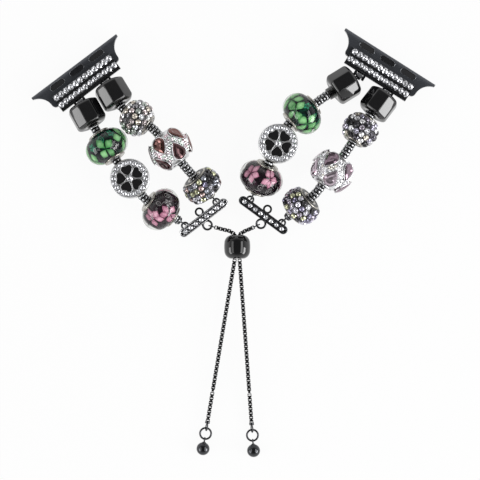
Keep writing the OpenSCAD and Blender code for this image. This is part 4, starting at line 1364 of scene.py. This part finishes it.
for side, name in enumerate(sides):
    leave = Vector((cos(closure_leave[side]), sin(closure_leave[side]), 0))
    pivot = end_bar_frame(side) @ closure_ring_at[side] + leave * closure_ring_r
    start = pivot + leave * (round_link_r + 0.05)
    turns = [Vector(p) for p in closure_route[side]]
    last = Vector((turns[2].x, tail_start[side].y + 0.15, slider_z))
    closure = Heap()
    links_along(closure, [start] + turns + [last])
    put_links(name + "_closure_links", closure, "closure", [name + "_closure_chain"])
    upright = along(pivot, pivot + leave) @ spin(pi / 2, "X")
    put_piece(name + "_closure_round_link", ring_shape(round_link_r, round_link_wire, upright),
              polished_nickel, "closure", "chain_box", [name + "_closure_chain"])

    line = along(tail_start[side], tail_end[side])
    length = (tail_end[side] - tail_start[side]).length
    for part, near, far in (("upper", 0.15, tail_split - 0.15), ("lower", tail_split, length)):
        links = Heap()
        links_along(links, [line @ Vector((near, 0, 0)), line @ Vector((far, 0, 0))])
        put_links(f"{name}_tail_{part}_links", links, f"{name}_tail_{part}_body",
                  [f"{name}_tail_{part}"])
    x = length - 0.4
    crimp = turned_shape([(x, 0.35), (x, 0.68), (x + 0.1, 0.75), (x + 0.3, 0.75), (x + 0.4, 0.66),
                          (x + 0.5, 0.75), (x + 0.7, 0.75), (x + 0.85, 0.6), (x + 0.9, 0.3)], line, 24)
    put_piece(name + "_tail_crimp", crimp, polished_nickel, name + "_tail_lower_body", "chain_box",
              [name + "_tail_lower"])
    tilted = line @ move(length + tail_ring_offset, 0) @ spin(tail_ring_tilt, "X")
    put_piece(name + "_tail_ring", ring_shape(tail_ring_r, tail_ring_wire, tilted), polished_nickel,
              name + "_tail_lower_body", "chain_box", [name + "_tail_lower"])

# End balls: solid steel balls in polished black nickel plate. Each hangs by a small eye from
# a jump ring at the end of its tail, and rests on the table.
end_ball_r = 2.0
jump_r = 1.7
jump_wire = 0.3
ball_eye_r = 0.62
ball_eye_wire = 0.25
for side, name in enumerate(sides):
    ahead = (tail_end[side] - tail_start[side]).normalized()
    flat = Vector((ahead.x, ahead.y, 0)).normalized()
    hang = tail_end[side] + ahead * tail_ring_offset
    place = along(hang, hang + flat)
    ring_x = 0.25 + jump_r
    eye_x = ring_x + jump_r + ball_eye_wire
    ball_x = eye_x + ball_eye_r + end_ball_r + 0.1
    drop = Heap()
    drop.put(ring_shape(jump_r, jump_wire, place @ move(ring_x, 0), 40, 12))
    upright = place @ move(eye_x, 0) @ spin(pi / 2, "X")
    drop.put(ring_shape(ball_eye_r, ball_eye_wire, upright, 24, 10))
    drop.put(ball(end_ball_r, 32, 48), place @ move(ball_x, 0, end_ball_r - hang.z))
    x = ball_x - end_ball_r
    collar = [(x - 0.12, 0.3), (x - 0.1, 0.5), (x + 0.1, 0.62), (x + 0.2, 0.3)]
    drop.put(turned_shape(collar, place @ move(0, 0, end_ball_r - hang.z), 24))
    put_piece(name + "_end_drop", drop, polished_nickel, name + "_end_ball_body", "ball_plated",
              [name + "_end_ball"])

# Sliding bead: a solid black glazed bead with a soft rubber core that grips both chains. Its
# skin is a true gloss and mirrors the two higher softboxes as bright windows.
glaze = two_tones("black_glazed_bead", 2.0, 2.0, "060607", "111113",
                  {"Roughness": 0.03, "IOR": 1.6})[0]
core_rubber = two_tones("soft_black_rubber_core", 0.4, 2.0, "1b1b1c", "303032", {"Roughness": 0.7})[0]

slider_mid = Vector((1.1, -1.05, slider_z))
slider_r = 4.0
slider_half = 3.6
slider_round = 2.5
slider_side = 1.19
slider_swell = 11.0
slider_bore = 2.22
swell = [(x, slider_r - x * x / (2 * slider_swell)) for x in [slider_side * i / 6 for i in range(7)]]
shoulder = swell[-1][1]
corner = [(slider_side + slider_round * cos(a), shoulder - slider_round * (1 - sin(a)))
          for a in [radians(84 - 4.1 * i) for i in range(16)]]
half_profile = swell[1:] + corner
profile = [(-x, r) for x, r in reversed(half_profile)] + [swell[0]] + half_profile
profile += [(slider_half - 0.02, slider_bore), (-slider_half + 0.02, slider_bore)]
place = move(*slider_mid) @ spin(pi / 2, "Z")
bead = turned_shape(profile, place, 96)
put_piece("slider_glazed_bead", bead, glaze, "slider", "slider_black", ["slider_bead"])
finish_node("slider_core", core_rubber, 0.08)

low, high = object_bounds()
sizes = {"cad": [list(corner) for corner in cad_box], "visual": [list(low), list(high)]}
